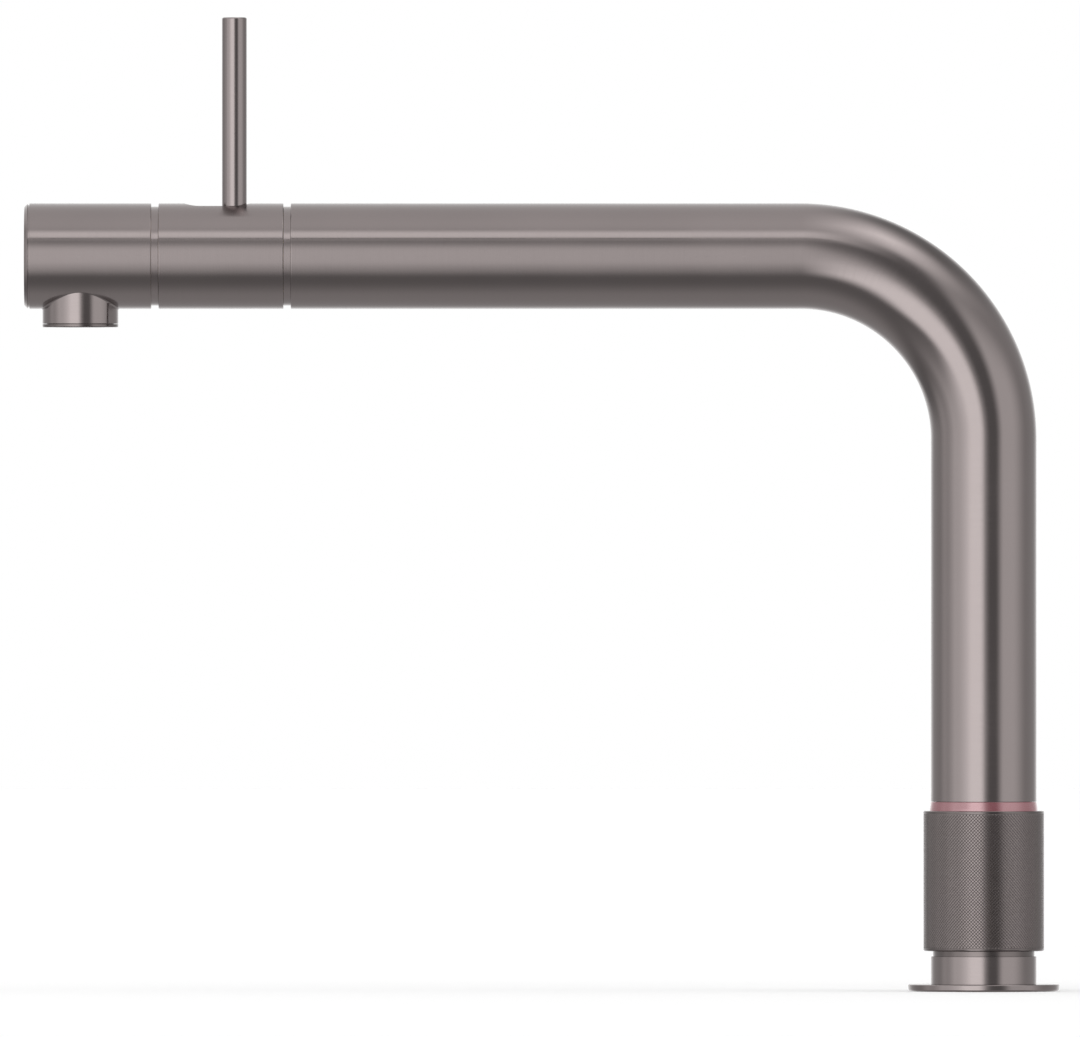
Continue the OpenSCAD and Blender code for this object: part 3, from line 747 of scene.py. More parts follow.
def start_material(
    name: str, coordinates: Coordinates
) -> tuple[bpy.types.Material, Tree, bpy.types.NodeSocket]:
    """Starts a node material.

    Args:
        name: The material's name.
        coordinates: Where its patterns are read.

    Returns:
        The material, its tree and the coordinates' socket.
    """
    material = bpy.data.materials.new(name)
    material.use_nodes = True
    tree = Tree(material.node_tree)
    return material, tree, tree.add("TexCoord").outputs[coordinates.value]


def tinted(colour: Colour, share: float) -> tuple[Colour, Colour]:
    """A colour made darker, and made lighter, by a share of itself."""
    return tuple(c * (1 - share) for c in colour), tuple(min(1.0, c * (1 + share)) for c in colour)


@dataclass(frozen=True)
class MetalFinish:
    """A brushed or turned metal, with its grain, slow clouding, and worn edges painted lighter, which
    are partly wear and partly a painted highlight.
    """

    name: str
    colour: Colour
    roughness: float
    coordinates: Coordinates = Coordinates.SURFACE
    fine: float = 260.0
    stretch: float = 30.0
    cloud_scale: float = 3.0
    streaks: tuple[float, float] = (0.25, 0.75)
    grain_roughness: float = 0.035
    cloud_roughness: float = 0.025
    least_roughness: float = 0.05
    tint: float = 0.05
    bump: float = 0.05
    wear_and_sheen: float = 0.35
    wear_sheen_gain: float = 1.5
    wear_sheen_lift: float = 0.03
    worn_polish: float = 0.06

    def material(self, effects: Effects) -> bpy.types.Material:
        """Builds the material.

        Roughness is its base + grain + cloud - wear, and the colour lightens with wear, which also
        paints a highlight on the edges, and drifts with the cloud.

        Args:
            effects: The shared node groups.

        Returns:
            The material.
        """
        material, tree, place = start_material(self.name, self.coordinates)
        sizes = {"Fine": self.fine, "Stretch": self.stretch, "Cloud Scale": self.cloud_scale}
        grain = tree.add("Group", {"Vector": place, **sizes}, node_tree=effects.grain).outputs
        edge = tree.add("Attribute", attribute_name="edge").outputs["Fac"]
        mask = {"Vector": place, "Edge": edge, "Amount": self.wear_and_sheen}
        wear_and_sheen = tree.add("Group", mask, node_tree=effects.wear_and_sheen).outputs["Mask"]
        # Worn edges painted lighter: partly wear, partly a painted highlight on every rounded edge
        worn_and_sheen = tuple(min(1.0, c * self.wear_sheen_gain + self.wear_sheen_lift) for c in self.colour)
        base = tree.mix(grain["Cloud"], *tinted(self.colour, self.tint))
        grit, haze = self.grain_roughness, self.cloud_roughness
        streak = tree.ramp(grain["Streaks"], *self.streaks, -grit, grit)
        drift = tree.ramp(grain["Cloud"], *NOISE, -haze, haze)
        rough = tree.math("ADD", tree.math("ADD", streak, drift), self.roughness)
        rough = tree.math("MULTIPLY_ADD", wear_and_sheen, -self.worn_polish, rough)
        look = {
            "Base Color": tree.mix(wear_and_sheen, base, worn_and_sheen),
            "Metallic": 1.0,
            "Roughness": tree.math("MAXIMUM", rough, self.least_roughness),
            "Normal": tree.bump(grain["Streaks"], self.bump),
        }
        tree.finish(look)
        return material


@dataclass(frozen=True)
class SoftFinish:
    """A moulded plastic, rubber, ceramic or board, with a fine matt texture."""

    name: str
    colour: Colour
    roughness: float
    scale: float = 900.0
    bump: float = 0.1
    tint: float = 0.06
    play: float = 0.05

    def material(self, effects: Effects) -> bpy.types.Material:
        """Builds the material: the colour drifts by the slow tint, and the speckle lifts the surface.

        Args:
            effects: The shared node groups.

        Returns:
            The material.
        """
        material, tree, place = start_material(self.name, Coordinates.OBJECT)
        inputs = {"Vector": place, "Scale": self.scale}
        speckle = tree.add("Group", inputs, node_tree=effects.speckle).outputs
        low, high = self.roughness - self.play, self.roughness + self.play
        look = {
            "Base Color": tree.mix(speckle["Tint"], *tinted(self.colour, self.tint)),
            "Roughness": tree.ramp(speckle["Height"], *NOISE, low, high),
            "Normal": tree.bump(speckle["Height"], self.bump),
        }
        tree.finish(look)
        return material


@dataclass(frozen=True)
class GlowFinish:
    """The translucent ring: a red glow from inside, under a smooth gloss that mirrors like the metal."""

    name: str
    colour: Colour
    deep: Colour
    glow: Colour
    scale: float = 1400.0
    metallic: float = 0.9
    roughness: float = 0.16
    play: float = 0.03
    light: float = 0.2
    coat: float = 0.5
    coat_roughness: float = 0.12

    def material(self, effects: Effects) -> bpy.types.Material:
        """Builds the material: the slow tint moves between the pale and the deep red.

        Args:
            effects: The shared node groups.

        Returns:
            The material.
        """
        material, tree, place = start_material(self.name, Coordinates.OBJECT)
        inputs = {"Vector": place, "Scale": self.scale}
        speckle = tree.add("Group", inputs, node_tree=effects.speckle).outputs
        low, high = self.roughness - self.play, self.roughness + self.play
        look = {
            "Base Color": tree.mix(speckle["Tint"], self.colour, self.deep),
            "Metallic": self.metallic,
            "Roughness": tree.ramp(speckle["Height"], *NOISE, low, high),
            "Emission Color": self.glow,
            "Emission Strength": self.light,
            "Coat Weight": self.coat,
            "Coat Roughness": self.coat_roughness,
        }
        tree.finish(look)
        return material


class Finishes:
    """One material for each slot on new pieces, and one for the CAD nodes that stay."""

    def __init__(self, effects: Effects) -> None:
        """Builds all materials.

        Args:
            effects: The shared node groups.
        """
        metals = {
            Slot.SATIN: {"colour": (0.252, 0.220, 0.217), "roughness": 0.14},
            Slot.DARK: {"colour": (0.166, 0.145, 0.142), "roughness": 0.19},
            Slot.BRASS: {"colour": (0.62, 0.43, 0.17), "roughness": 0.28},
            Slot.STEEL: {"colour": (0.56, 0.56, 0.58), "roughness": 0.24},
        }
        on_cad = {"coordinates": Coordinates.OBJECT, "fine": 700.0, "stretch": 6.0, "cloud_scale": 25.0}
        soft = {
            Slot.PLASTIC: SoftFinish("white_plastic", (0.80, 0.80, 0.77), 0.42),
            Slot.RUBBER: SoftFinish(
                "black_rubber", (0.018, 0.018, 0.019), 0.62, scale=1400.0, bump=0.25, tint=0.2
            ),
            Slot.BOARD: SoftFinish(
                "circuit_board", (0.01, 0.12, 0.045), 0.35, scale=1200.0, bump=0.05, tint=0.2
            ),
            Slot.CERAMIC: SoftFinish(
                "ceramic", (0.84, 0.82, 0.76), 0.18, scale=1600.0, bump=0.02, tint=0.03
            ),
            Slot.GLOW: GlowFinish(
                "glow_ring", (0.27, 0.205, 0.21), deep=(0.235, 0.165, 0.172), glow=(0.60, 0.09, 0.14)
            ),
        }
        self.fresh = {slot: finish.material(effects) for slot, finish in soft.items()}
        self.kept = dict(self.fresh)
        for slot, look in metals.items():
            self.fresh[slot] = MetalFinish(slot.value, **look).material(effects)
            self.kept[slot] = MetalFinish("cad_" + slot.value, **look, **on_cad).material(effects)


# The tap

COLUMN = StraightPath((0.0, 0.0, 0.0))


def lowest(node: str, axis: int) -> float:
    """Lowest place of a CAD node along an axis, in millimetres to a hundredth."""
    return round(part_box(node)[0][axis] / MM, 2)


def highest(node: str, axis: int) -> float:
    """Highest place of a CAD node along an axis, in millimetres to a hundredth."""
    return round(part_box(node)[1][axis] / MM, 2)


@dataclass
class Sizes:
    """Sizes that several sub-assemblies share, in millimetres, most of them from the CAD nodes."""

    tube_r: float = highest("base_body", X)
    wall: float = 1.5
    bore_r: float = tube_r - wall
    groove: float = 1.0
    floor_r: float = tube_r - groove
    bend_r: float = 55.5
    arm_z: float = highest("spout_tube", Z) - tube_r
    column_z: float = lowest("spout_tube", Z)
    tip_x: float = lowest("tip_cap", X)
    tip_end: float = highest("tip_housing", X)
    sleeve_x0: float = lowest("mixer_sleeve", X)
    sleeve_x1: float = highest("mixer_sleeve", X)
    arm_x: float = lowest("spout_tube", X)
    outlet_r: float = 11.5
    outlet_x: float = highest("aerator_housing", X) - outlet_r
    lever_r: float = 3.75
    lever_x: float = highest("lever_rod", X) - lever_r
    ring_z: float = lowest("control_ring", Z)
    ring_top: float = highest("control_ring", Z)
    flange_t: float = highest("flange", Z)
    shank_r: float = highest("mount_shank", X)

    @property
    def arm(self) -> StraightPath:
        """The arm's axis, measured along X."""
        return StraightPath((0.0, 0.0, self.arm_z), (1.0, 0.0, 0.0), (0.0, 1.0, 0.0))


@dataclass
class Assembly:
    """A group of pieces that are made from the shared sizes and finishes."""

    sizes: Sizes
    finishes: Finishes

    def make(self, name: str, body: str, slot: Slot, surface: Surface, *nodes: str) -> bpy.types.Object:
        """Makes a piece, as Surface.piece does, with its slot's finish for new pieces."""
        return surface.piece(name, body, slot, self.finishes.fresh[slot], *nodes)


class InnerParts(Assembly):
    """CAD nodes that keep their shape and get a better finish."""

    def build(self) -> None:
        """Gives every CAD node the finish of its slot in the record."""
        parts = frame["record"]["subparts"]
        for part in parts:
            mesh = frame["nodes"][part["node"]].data
            mesh.materials.clear()
            mesh.materials.append(self.finishes.kept[Slot(part["material_slot"])])
        LOG.info("%d CAD nodes dressed", len(parts))


@dataclass
class Base(Assembly):
    """Flange, neck, light ring and a dark band of painted shade under the ring, which stand still."""

    flange_r: float = highest("flange", X)
    hole_gap: float = 0.1
    undercut: float = 0.6
    brim: float = 0.16
    brim_z: float = 0.5
    flange_around: int = 192
    neck_edge: float = 0.12
    shoulder_gap: float = 0.3
    shoulder_z: float = highest("mount_shank", Z) + shoulder_gap
    shoulder_r: float = 13.05
    passage_r: float = 10.0
    shadow_gap: float = 1.6
    relief: float = 0.6
    lap: float = 0.1
    band_t: float = 0.3
    spring_z: float = lowest("return_spring", Z)
    guide_r: float = 13.4
    neck_z: float = highest("base_body", Z)
    pocket_r: float = 11.55
    pocket_z: float = 36.0
    glow_z: float = lowest("light_ring", Z)
    glow_r: float = highest("light_ring", X)
    glow_top: float = highest("light_ring", Z) + lap
    glow_bore: float = 12.65
    glow_step: float = 0.6
    glow_edge: float = 0.4
    around: int = 128

    def build(self) -> None:
        """Makes and dresses the pieces of the base."""
        s = self.sizes
        hole_r = s.shank_r + self.hole_gap
        flange = Outline(
            (
                (0.0, hole_r, EDGE), (0.0, self.flange_r - self.undercut, MILD),
                (self.brim_z, self.flange_r - self.brim, SOFT), (s.flange_t, self.flange_r, SOFT),
                (s.flange_t, hole_r, EDGE),
            ),
            steps=5,
        )
        neck_top, relief_r = s.ring_z - self.shadow_gap, s.tube_r - self.relief
        behind_r, behind_z = relief_r - self.lap, self.spring_z - self.lap
        neck = Outline(
            (
                (self.shoulder_z, self.passage_r, EDGE), (self.shoulder_z, self.shoulder_r, EDGE),
                (s.flange_t, self.shoulder_r, EDGE), (s.flange_t, s.tube_r, FINE),
                (neck_top, s.tube_r, self.neck_edge), (neck_top, behind_r, EDGE),
                (behind_z, behind_r, EDGE),
                (behind_z, self.guide_r, EDGE), (self.neck_z, self.guide_r, MILD),
                (self.neck_z, self.pocket_r, EDGE), (self.pocket_z, self.pocket_r, EDGE),
                (self.pocket_z, self.passage_r, EDGE),
            ),
            steps=6,
        )
        # A darker band on the neck's relief under the ring: painted shade for the shade that falls in
        # the gap
        band_z, band_r = neck_top - self.lap, relief_r - self.band_t
        band = Outline(
            (
                (band_z, band_r, FINE), (band_z, relief_r, FINE),
                (self.spring_z, relief_r, EDGE), (self.spring_z, band_r, FINE),
            )
        )
        glow = Outline(
            (
                (self.glow_z, self.glow_bore, EDGE), (self.glow_z, self.glow_r, EDGE),
                (s.ring_top + self.glow_step, self.glow_r, self.glow_edge),
                (self.glow_top, s.tube_r, FINE), (self.glow_top, self.glow_bore, FINE),
            )
        )
        for name, outline, slot, around, *nodes in (
            ("flange_disc", flange, Slot.SATIN, self.flange_around, "flange"),
            ("neck_body", neck, Slot.SATIN, self.around, "base_body"),
            ("painted_shade_band", band, Slot.DARK, self.around),
            ("light_band", glow, Slot.GLOW, self.around, "light_ring"),
        ):
            self.make(name, "base", slot, swept(outline, COLUMN, around), *nodes)


@dataclass
class WorktopClamp(Assembly):
    """The threaded shank below the worktop, with its nut and washers."""

    foot_z: float = lowest("mount_shank", Z)
    top_z: float = highest("mount_shank", Z)
    bore_r: float = 11.5
    neck_r: float = 13.0
    foot_edge: float = 1.0
    bore_edge: float = 0.2
    thread_low: float = 1.2
    thread_top: float = -0.6
    pitch: float = 1.5
    pitch_rows: int = 6
    depth: float = 0.55
    flank: float = 4.4
    land: float = 0.6
    columns: int = 96
    crease: float = 24.0
    nut_edge: float = 0.2
    nut_slope: float = 1.8
    nut_gap: float = 0.05
    nut_least: float = 0.02
    nut_columns: int = 144
    nut_crease: float = 20.0
    washer_gap: float = 0.3
    steel_edge: float = 0.2
    rubber_edge: float = 0.5
    washer_r: float = highest("pressure_washer", X)

    def build(self) -> None:
        """Makes and dresses the pieces of the clamp."""
        self.make("threaded_shank", "base", Slot.BRASS, self.shank(), "mount_shank")
        self.make("hex_nut", "base", Slot.BRASS, self.nut(), "shank_nut")
        inner, outer = self.sizes.shank_r + self.washer_gap, self.washer_r
        for name, slot, edge, node in (
            ("steel_washer", Slot.STEEL, self.steel_edge, "pressure_washer"),
            ("rubber_pad", Slot.RUBBER, self.rubber_edge, "rubber_washer"),
        ):
            low, high = lowest(node, Z), highest(node, Z)
            outline = Outline(
                (
                    (low, inner, edge / 2), (low, outer, edge),
                    (high, outer, edge), (high, inner, edge / 2),
                )
            )
            self.make(name, "base", slot, swept(outline, COLUMN), node)

    def shank(self) -> Surface:
        """The thread: radius = shank radius - depth * groove(height / pitch - turn).

        The groove is a trapezoid wave of the fractional part, so it climbs one pitch for each turn, and
        it fades out over the last pitch at both ends.

        Returns:
            The closed surface of the shank.
        """
        outer, seat = self.sizes.shank_r, self.sizes.flange_t
        low, high = self.foot_z + self.thread_low, self.thread_top
        heights = np.arange(low, high, self.pitch / self.pitch_rows)
        turn = np.arange(self.columns) / self.columns
        phase = (heights[:, None] / self.pitch - turn[None, :]) % 1.0
        groove = np.clip(self.flank * (0.5 - abs(phase - 0.5)) - self.land, 0, 1)
        ends = np.clip(np.minimum(heights - low, high - heights) / self.pitch, 0, 1)[:, None]
        thread = outer - self.depth * groove * ends
        foot = np.array(
            [
                (self.foot_z, self.bore_r + self.bore_edge), (self.foot_z, outer - self.foot_edge),
                (self.foot_z + self.foot_edge, outer),
            ]
        )
        top = np.array(
            [
                (seat, outer), (seat, self.neck_r), (self.top_z, self.neck_r),
                (self.top_z, self.bore_r), (self.foot_z + self.bore_edge, self.bore_r),
            ]
        )
        along = np.concatenate([foot[:, 0], heights, top[:, 0]])[:, None]
        along = np.repeat(along, self.columns, 1)
        foot_r, top_r = (np.repeat(rows[:, 1:], self.columns, 1) for rows in (foot, top))
        radius = np.concatenate([foot_r, thread, top_r])
        angle = np.broadcast_to(2 * math.pi * turn, along.shape)
        return wrapped(along, radius, angle, COLUMN, self.crease).outward()

    def nut(self) -> Surface:
        """The nut: a hexagon whose corners are cut by a cone that grows from each face.

        The hexagon's radius is half its flats over the cosine of the angle from a flat's middle. The
        cone meets it at the height ((that radius - the face's radius) / slope) from the face.

        Returns:
            The closed surface of the nut.
        """
        low, high = lowest("shank_nut", Z), highest("shank_nut", Z)
        apothem = highest("shank_nut", Y)
        angle = 2 * math.pi * np.arange(self.nut_columns) / self.nut_columns
        hexagon = apothem / np.cos(angle % (math.pi / 3) - math.pi / 6)
        face = np.minimum(hexagon, apothem + self.nut_edge)
        cut = np.maximum((hexagon - face) / self.nut_slope, self.nut_least)
        bore = np.full(self.nut_columns, self.sizes.shank_r + self.nut_gap)
        flat = np.zeros(self.nut_columns)
        along = np.array([flat + low, low + cut, high - cut, flat + high, flat + high, flat + low])
        radius = np.array([face, hexagon, hexagon, face, bore, bore])
        angle = np.broadcast_to(angle, along.shape)
        return wrapped(along, radius, angle, COLUMN, self.nut_crease).outward()


@dataclass
class ReturnSpring(Assembly):
    """The spring under the ring's carrier, which pushes the ring up again."""

    low: float = lowest("return_spring", Z)
    high: float = highest("return_spring", Z)
    coil_r: float = 15.0
    wire_r: float = 0.6
    wire_edge: float = 0.15
    turns: float = 4.0
    push: float = 3.0
    steps: int = 44
    around: int = 12

    def build(self) -> None:
        """Makes the spring and gives it a mesh of its own."""
        climb = self.high - self.low - 2 * self.wire_r
        path = CoilPath(self.low + self.wire_r, climb, self.coil_r, self.turns)
        breaks = np.linspace(0, path.length, round(self.steps * self.turns) + 1)
        wire = Outline(
            (
                (0.0, 0.0, 0.0), (0.0, self.wire_r, self.wire_edge),
                (path.length, self.wire_r, self.wire_edge), (path.length, 0.0, 0.0),
            ),
            closed=False,
            breaks=tuple(breaks.tolist()),
        )
        coil = swept(wire, path, self.around)
        piece = self.make("coil_spring", "base", Slot.STEEL, coil, "return_spring")
        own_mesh(piece)


@dataclass
class ControlRing(Assembly):
    """The knurled ring that is pushed down and turned."""

    outer_r: float = highest("control_ring", X)
    bore_r: float = 16.6
    lip_r: float = 16.25
    lip: float = 1.2
    low_edge: float = 0.55
    rim: float = 0.8
    knurls: int = 114
    rows: int = 40
    sunk: float = 0.05
    depth: float = 0.08
    flat: float = 0.74
    worn_and_sheen: float = 0.6
    crease: float = 14.0

    def build(self) -> None:
        """Makes and dresses the ring."""
        self.make("knurled_ring", "boil_ring", Slot.DARK, self.surface(), "control_ring")

    def surface(self) -> Surface:
        """Flat-topped diamonds between two plain rims.

        The knurled band is a grid with four columns to a knurl and four rows to a diamond. Points whose
        half indices are whole are diamond middles (even sum) or groove crossings (odd sum). Points with
        both half indices broken lie in a groove. The others are the corners of a diamond's flat top, and
        slide along their row or column until they are a share "flat" of the way from middle to crossing.
        The rims' points are put in the order that follows the band's last row, and without their
        outline's two corners behind the band, which stands for them.

        Returns:
            The closed surface of the ring.
        """
        s = self.sizes
        columns, lines = 4 * self.knurls, 4 * self.rows
        low, high = s.ring_z + self.rim, s.ring_top - self.rim
        i, j = np.meshgrid(np.arange(columns), np.arange(lines + 1))
        middle = (i // 2 + j // 2) % 2 == 0
        whole_i, whole_j = i % 2 == 0, j % 2 == 0
        border = (j == 0) | (j == lines)
        top = ((whole_i & whole_j & middle) | (whole_i ^ whole_j)) & ~border
        slide = np.where(middle, self.flat - 0.5, 0.5 - self.flat)
        column = i / 2 + np.where(~whole_i & whole_j & ~border, slide, 0)
        line = j / 2 + np.where(whole_i & ~whole_j, slide, 0)
        crest = self.outer_r - self.sunk
        valley = crest - self.depth
        band_z = low + (high - low) * line / (2 * self.rows)
        rims = Outline(
            (
                (s.ring_z, self.lip_r, EDGE), (s.ring_z, self.outer_r, self.low_edge),
                (low, self.outer_r, EDGE), (low, valley, LEAST),
                (high, valley, LEAST), (high, self.outer_r, EDGE),
                (s.ring_top, self.outer_r, SOFT), (s.ring_top, self.bore_r, MILD),
                (s.ring_z + self.lip, self.bore_r, EDGE), (s.ring_z + self.lip, self.lip_r, EDGE),
            ),
            steps=3,
        )
        each = rims.steps + 1
        points, _, edge = rims.trace()
        points = np.roll(points[::-1], -5 * each, 0)[: -2 * each]
        edge = np.roll(edge[::-1], -5 * each)[: -2 * each]
        turn = 2 * math.pi * np.arange(columns) / columns
        along = np.concatenate([band_z, np.repeat(points[:, :1], columns, 1)])
        band_r = np.where(top, crest, valley)
        radius = np.concatenate([band_r, np.repeat(points[:, 1:], columns, 1)])
        angle = np.concatenate([column * math.pi / self.knurls, np.repeat(turn[None], len(points), 0)])
        surface = wrapped(along, radius, angle, COLUMN, self.crease)
        self._split(surface, lines * columns, columns)
        # The diamonds' flat tops get the wear mask too, so they are painted lighter: wear and painted
        # highlight
        mask = np.where(top, self.worn_and_sheen, 0.0)
        surface.edge = np.concatenate([mask.ravel(), np.repeat(edge, columns)])
        return surface.outward()

    def _split(self, surface: Surface, count: int, columns: int) -> None:
        """Cuts the band's quads into triangles along the grooves and round the flat tops.

        Args:
            surface: The ring's surface, whose first faces are the band's.
            count: Number of faces in the band.
            columns: Number of faces in a row.
        """
        quads, places = surface.faces[0], surface.places[0]
        row, column = np.divmod(np.arange(count), columns)
        falling = ((row // 2 + column // 2) % 2 == 0)[:, None]
        surface.faces, surface.places = [quads[count:]], [places[count:]]
        for one, other in (([0, 1, 3], [0, 1, 2]), ([1, 2, 3], [0, 2, 3])):
            band, chart = quads[:count], places[:count]
            surface.faces.append(np.where(falling, band[:, one], band[:, other]))
            surface.places.append(np.where(falling[..., None], chart[:, one], chart[:, other]))


@dataclass
class Spout(Assembly):
    """The bent tube and the floors of the two grooves beside the sleeve."""

    end_edge: float = 0.25
    foot_edge: float = 0.1
    bend_steps: int = 72
    around: int = 144
    floor_bore: float = 14.7
    floor_gap: float = 0.04
    floor_lift: float = 0.02

    def build(self) -> None:
        """Makes and dresses the tube and the groove floors."""
        s = self.sizes
        path = BentPath(s.column_z, s.arm_z, s.bend_r)
        end = path.rise + path.quarter + (-s.bend_r - s.arm_x)
        breaks = path.rise + np.linspace(0, path.quarter, self.bend_steps + 1)
        tube = Outline(
            (
                (0.0, s.bore_r, EDGE), (0.0, s.tube_r, self.foot_edge),
                (end, s.tube_r, self.end_edge), (end, s.bore_r, EDGE),
            ),
            breaks=tuple(breaks.tolist()),
        )
        self.make("spout_shell", "spout", Slot.SATIN, swept(tube, path, self.around), "spout_tube")
        low, high = self.floor_bore, s.floor_r + self.floor_lift
        for name, x0, x1 in (
            ("inner_groove_floor", s.sleeve_x1 + self.floor_gap, s.arm_x),
            ("outer_groove_floor", s.tip_end, s.sleeve_x0 - self.floor_gap),
        ):
            floor = Outline(((x0, low, LEAST), (x0, high, LEAST), (x1, high, LEAST), (x1, low, LEAST)))
            self.make(name, "spout", Slot.SATIN, swept(floor, s.arm))


@dataclass
class MixingSleeve(Assembly):
    """The short sleeve that turns round the arm, with the slot for the lever on top."""

    slot_r: float = 4.15
    slot_run: float = 10.44
    edge: float = 0.25
    slot_edge: float = 0.75
    patch_half: float = 58.0
    side_count: int = 36
    outer_shares: tuple[float, ...] = (0.2, 0.4, 0.6, 0.8, 0.92)
    inner_shares: tuple[float, ...] = (0.7, 0.35)
    slot_rounds: int = 7
    bore_rounds: int = 4

    def build(self) -> None:
        """Makes and dresses the sleeve."""
        self.make("slotted_sleeve", "mixer", Slot.SATIN, self.surface(), "mixer_sleeve")

    def _slot_points(self, bearing: np.ndarray) -> Arrays:
        """Points and inward normals of the slot's outline in the directions of the given bearings.

        The outline is a stadium: its two half circles and its straight sides are met by a ray from its
        middle, and the nearest way out is kept.

        Args:
            bearing: Angles about the slot's middle, in radians.

        Returns:
            Points (x, y), and unit vectors from the slot into the metal.
        """
        half = self.slot_run / 2
        ray = np.stack([np.cos(bearing), np.sin(bearing)], 1)
        side = self.slot_r / np.maximum(abs(ray[:, 1]), TINY)
        centre = np.stack([np.sign(ray[:, 0]) * half, np.zeros(len(ray))], 1)
        along = np.sum(ray * centre, 1)
        end = along + np.sqrt(np.maximum(along**2 - half**2 + self.slot_r**2, 0))
        straight = abs(side * ray[:, 0]) <= half
        point = ray * np.where(straight, side, end)[:, None]
        flat_out = np.stack([np.zeros(len(ray)), np.sign(ray[:, 1])], 1)
        out = np.where(straight[:, None], flat_out, unit(point - centre))
        return point + [self.sizes.lever_x - half, 0.0], out

    def surface(self) -> Surface:
        """A turned ring whose top patch is swapped for loops that run down into the slot.

        Points of the patch lie on the cylinder at (x, angle), part of the way from the patch's border to
        the slot. The slot's edge is the path of a ball that touches the cylinder and the slot's wall.

        Returns:
            The closed surface of the sleeve.
        """
        s, e, n = self.sizes, self.edge, self.side_count
        half = math.radians(self.patch_half)
        inner_angle = np.linspace(-half, half, n + 1)
        outer_angle = np.linspace(half, 2 * math.pi - half, 2 * n + 1)[1:-1]
        angle = np.concatenate([inner_angle, outer_angle])
        columns = len(angle)
        spread = np.linspace(s.sleeve_x0 + e, s.sleeve_x1 - e, n + 1)
        outline = Outline(
            (
                (s.sleeve_x0, s.bore_r, e), (s.sleeve_x0, s.tube_r, e),
                (s.sleeve_x1, s.tube_r, e), (s.sleeve_x1, s.bore_r, e),
            ),
            breaks=tuple(spread[1:-1].tolist()),
        )
        points, edge, place, normal = revolved(outline, s.arm, math.pi / 2 - angle)
        rows = len(points)
        faces = grid_faces(rows, columns)
        girth = np.concatenate([angle, [2 * math.pi - half]]) * s.tube_r
        places = grid_places(points[:, 0], girth)
        row, column = np.divmod(np.arange(len(faces)), columns)
        flats, on_flat = [], np.zeros(len(faces), bool)
        for radius in (s.tube_r, s.bore_r):
            line = np.nonzero(abs(points[:, 1] - radius) < NEAR)[0]
            flats.append(line[np.argsort(points[line, 0])])
            on_flat |= np.isin(row, line) & np.isin((row + 1) % rows, line)
        keep = ~(on_flat & (column < n))
        border = self._border(n)
        loops, loop_normals, loop_edge = self._loops(points, flats, angle, border)
        outer_ids, inner_ids = (line[border[:, 0]] * columns + border[:, 1] for line in flats)
        count = len(loops) * len(border)
        inner_loops = rows * columns + np.arange(count).reshape(len(loops), len(border))
        ladder = np.vstack([outer_ids[None], inner_loops, inner_ids[None]])
        after = np.roll(ladder, -1, 1)
        strips = np.stack([ladder[:-1], after[:-1], after[1:], ladder[1:]], -1).reshape(-1, 4)
        all_points = np.concatenate([place.reshape(-1, 3), loops.reshape(-1, 3)])
        turn = np.arctan2(all_points[:, 1], all_points[:, 2] - s.arm_z)
        chart = np.stack([all_points[:, 0], turn * s.tube_r], 1)
        return Surface(
            all_points,
            [faces[keep], strips],
            [places[keep], chart[strips]],
            np.concatenate([normal.reshape(-1, 3), loop_normals.reshape(-1, 3)]),
            np.concatenate([np.repeat(edge, columns), loop_edge.ravel()]),
        ).outward()

    def _border(self, n: int) -> np.ndarray:
        """Index pairs (place along X, place round the arm) of the patch's border, in one turn.

        Args:
            n: Number of steps on each of the four sides.

        Returns:
            Array of index pairs.
        """
        up, zero, full = np.arange(n), np.zeros(n, int), np.full(n, n)
        sides = [(up, zero), (full, up), (n - up, full), (zero, n - up)]
        return np.concatenate([np.stack(side, 1) for side in sides])

    def _loops(
        self, points: np.ndarray, flats: list[np.ndarray], angle: np.ndarray, border: np.ndarray
    ) -> Arrays:
        """Loops of points from the outer border, over the slot's edge and wall, to the inner border.

        Args:
            points: The turned outline.
            flats: Rows of the outline on the outer and on the inner cylinder.
            angle: Angles of the columns.
            border: Index pairs of the patch's border.

        Returns:
            Points, normals and edge mask, one row for each loop.
        """
        s = self.sizes
        x = points[flats[0], 0][border[:, 0]]
        turn = angle[border[:, 1]]
        bearing = np.arctan2(turn * s.tube_r, x - (s.lever_x - self.slot_run / 2))
        outline, out = self._slot_points(bearing)
        loops = Loops()

        def spread(radius: float, sign: float, touch: np.ndarray, shares: tuple[float, ...]) -> None:
            """Adds loops on a cylinder.

            Args:
                radius: The cylinder's radius.
                sign: 1 where the metal is inside the cylinder, -1 where it is outside.
                touch: Points where the slot's edge meets the cylinder.
                shares: Shares of the way from the border to the edge, one to a loop.
            """
            touch_a = np.arctan2(touch[:, 1], touch[:, 2])
            for share in shares:
                px, pa = x + share * (touch[:, 0] - x), turn + share * (touch_a - turn)
                radial = np.stack([np.zeros_like(pa), np.sin(pa), np.cos(pa)], 1)
                loops.add(np.stack([px, radius * np.sin(pa), radius * np.cos(pa)], 1), sign * radial)

        def ball(radius: float, sign: float, e: float) -> Arrays:
            """Places a ball that touches a cylinder and the slot's wall.

            Args:
                radius: The cylinder's radius.
                sign: 1 where the metal is inside the cylinder, -1 where it is outside.
                e: The ball's radius.

            Returns:
                Its centres, and its directions to the cylinder and to the wall.
            """
            flat = outline + out * e
            rise = np.sqrt((radius - sign * e) ** 2 - flat[:, 1] ** 2)
            centre = np.stack([flat[:, 0], flat[:, 1], rise], 1)
            to_face = sign * unit(centre * [0, 1, 1])
            return centre, to_face, np.concatenate([-out, np.zeros((len(out), 1))], 1)

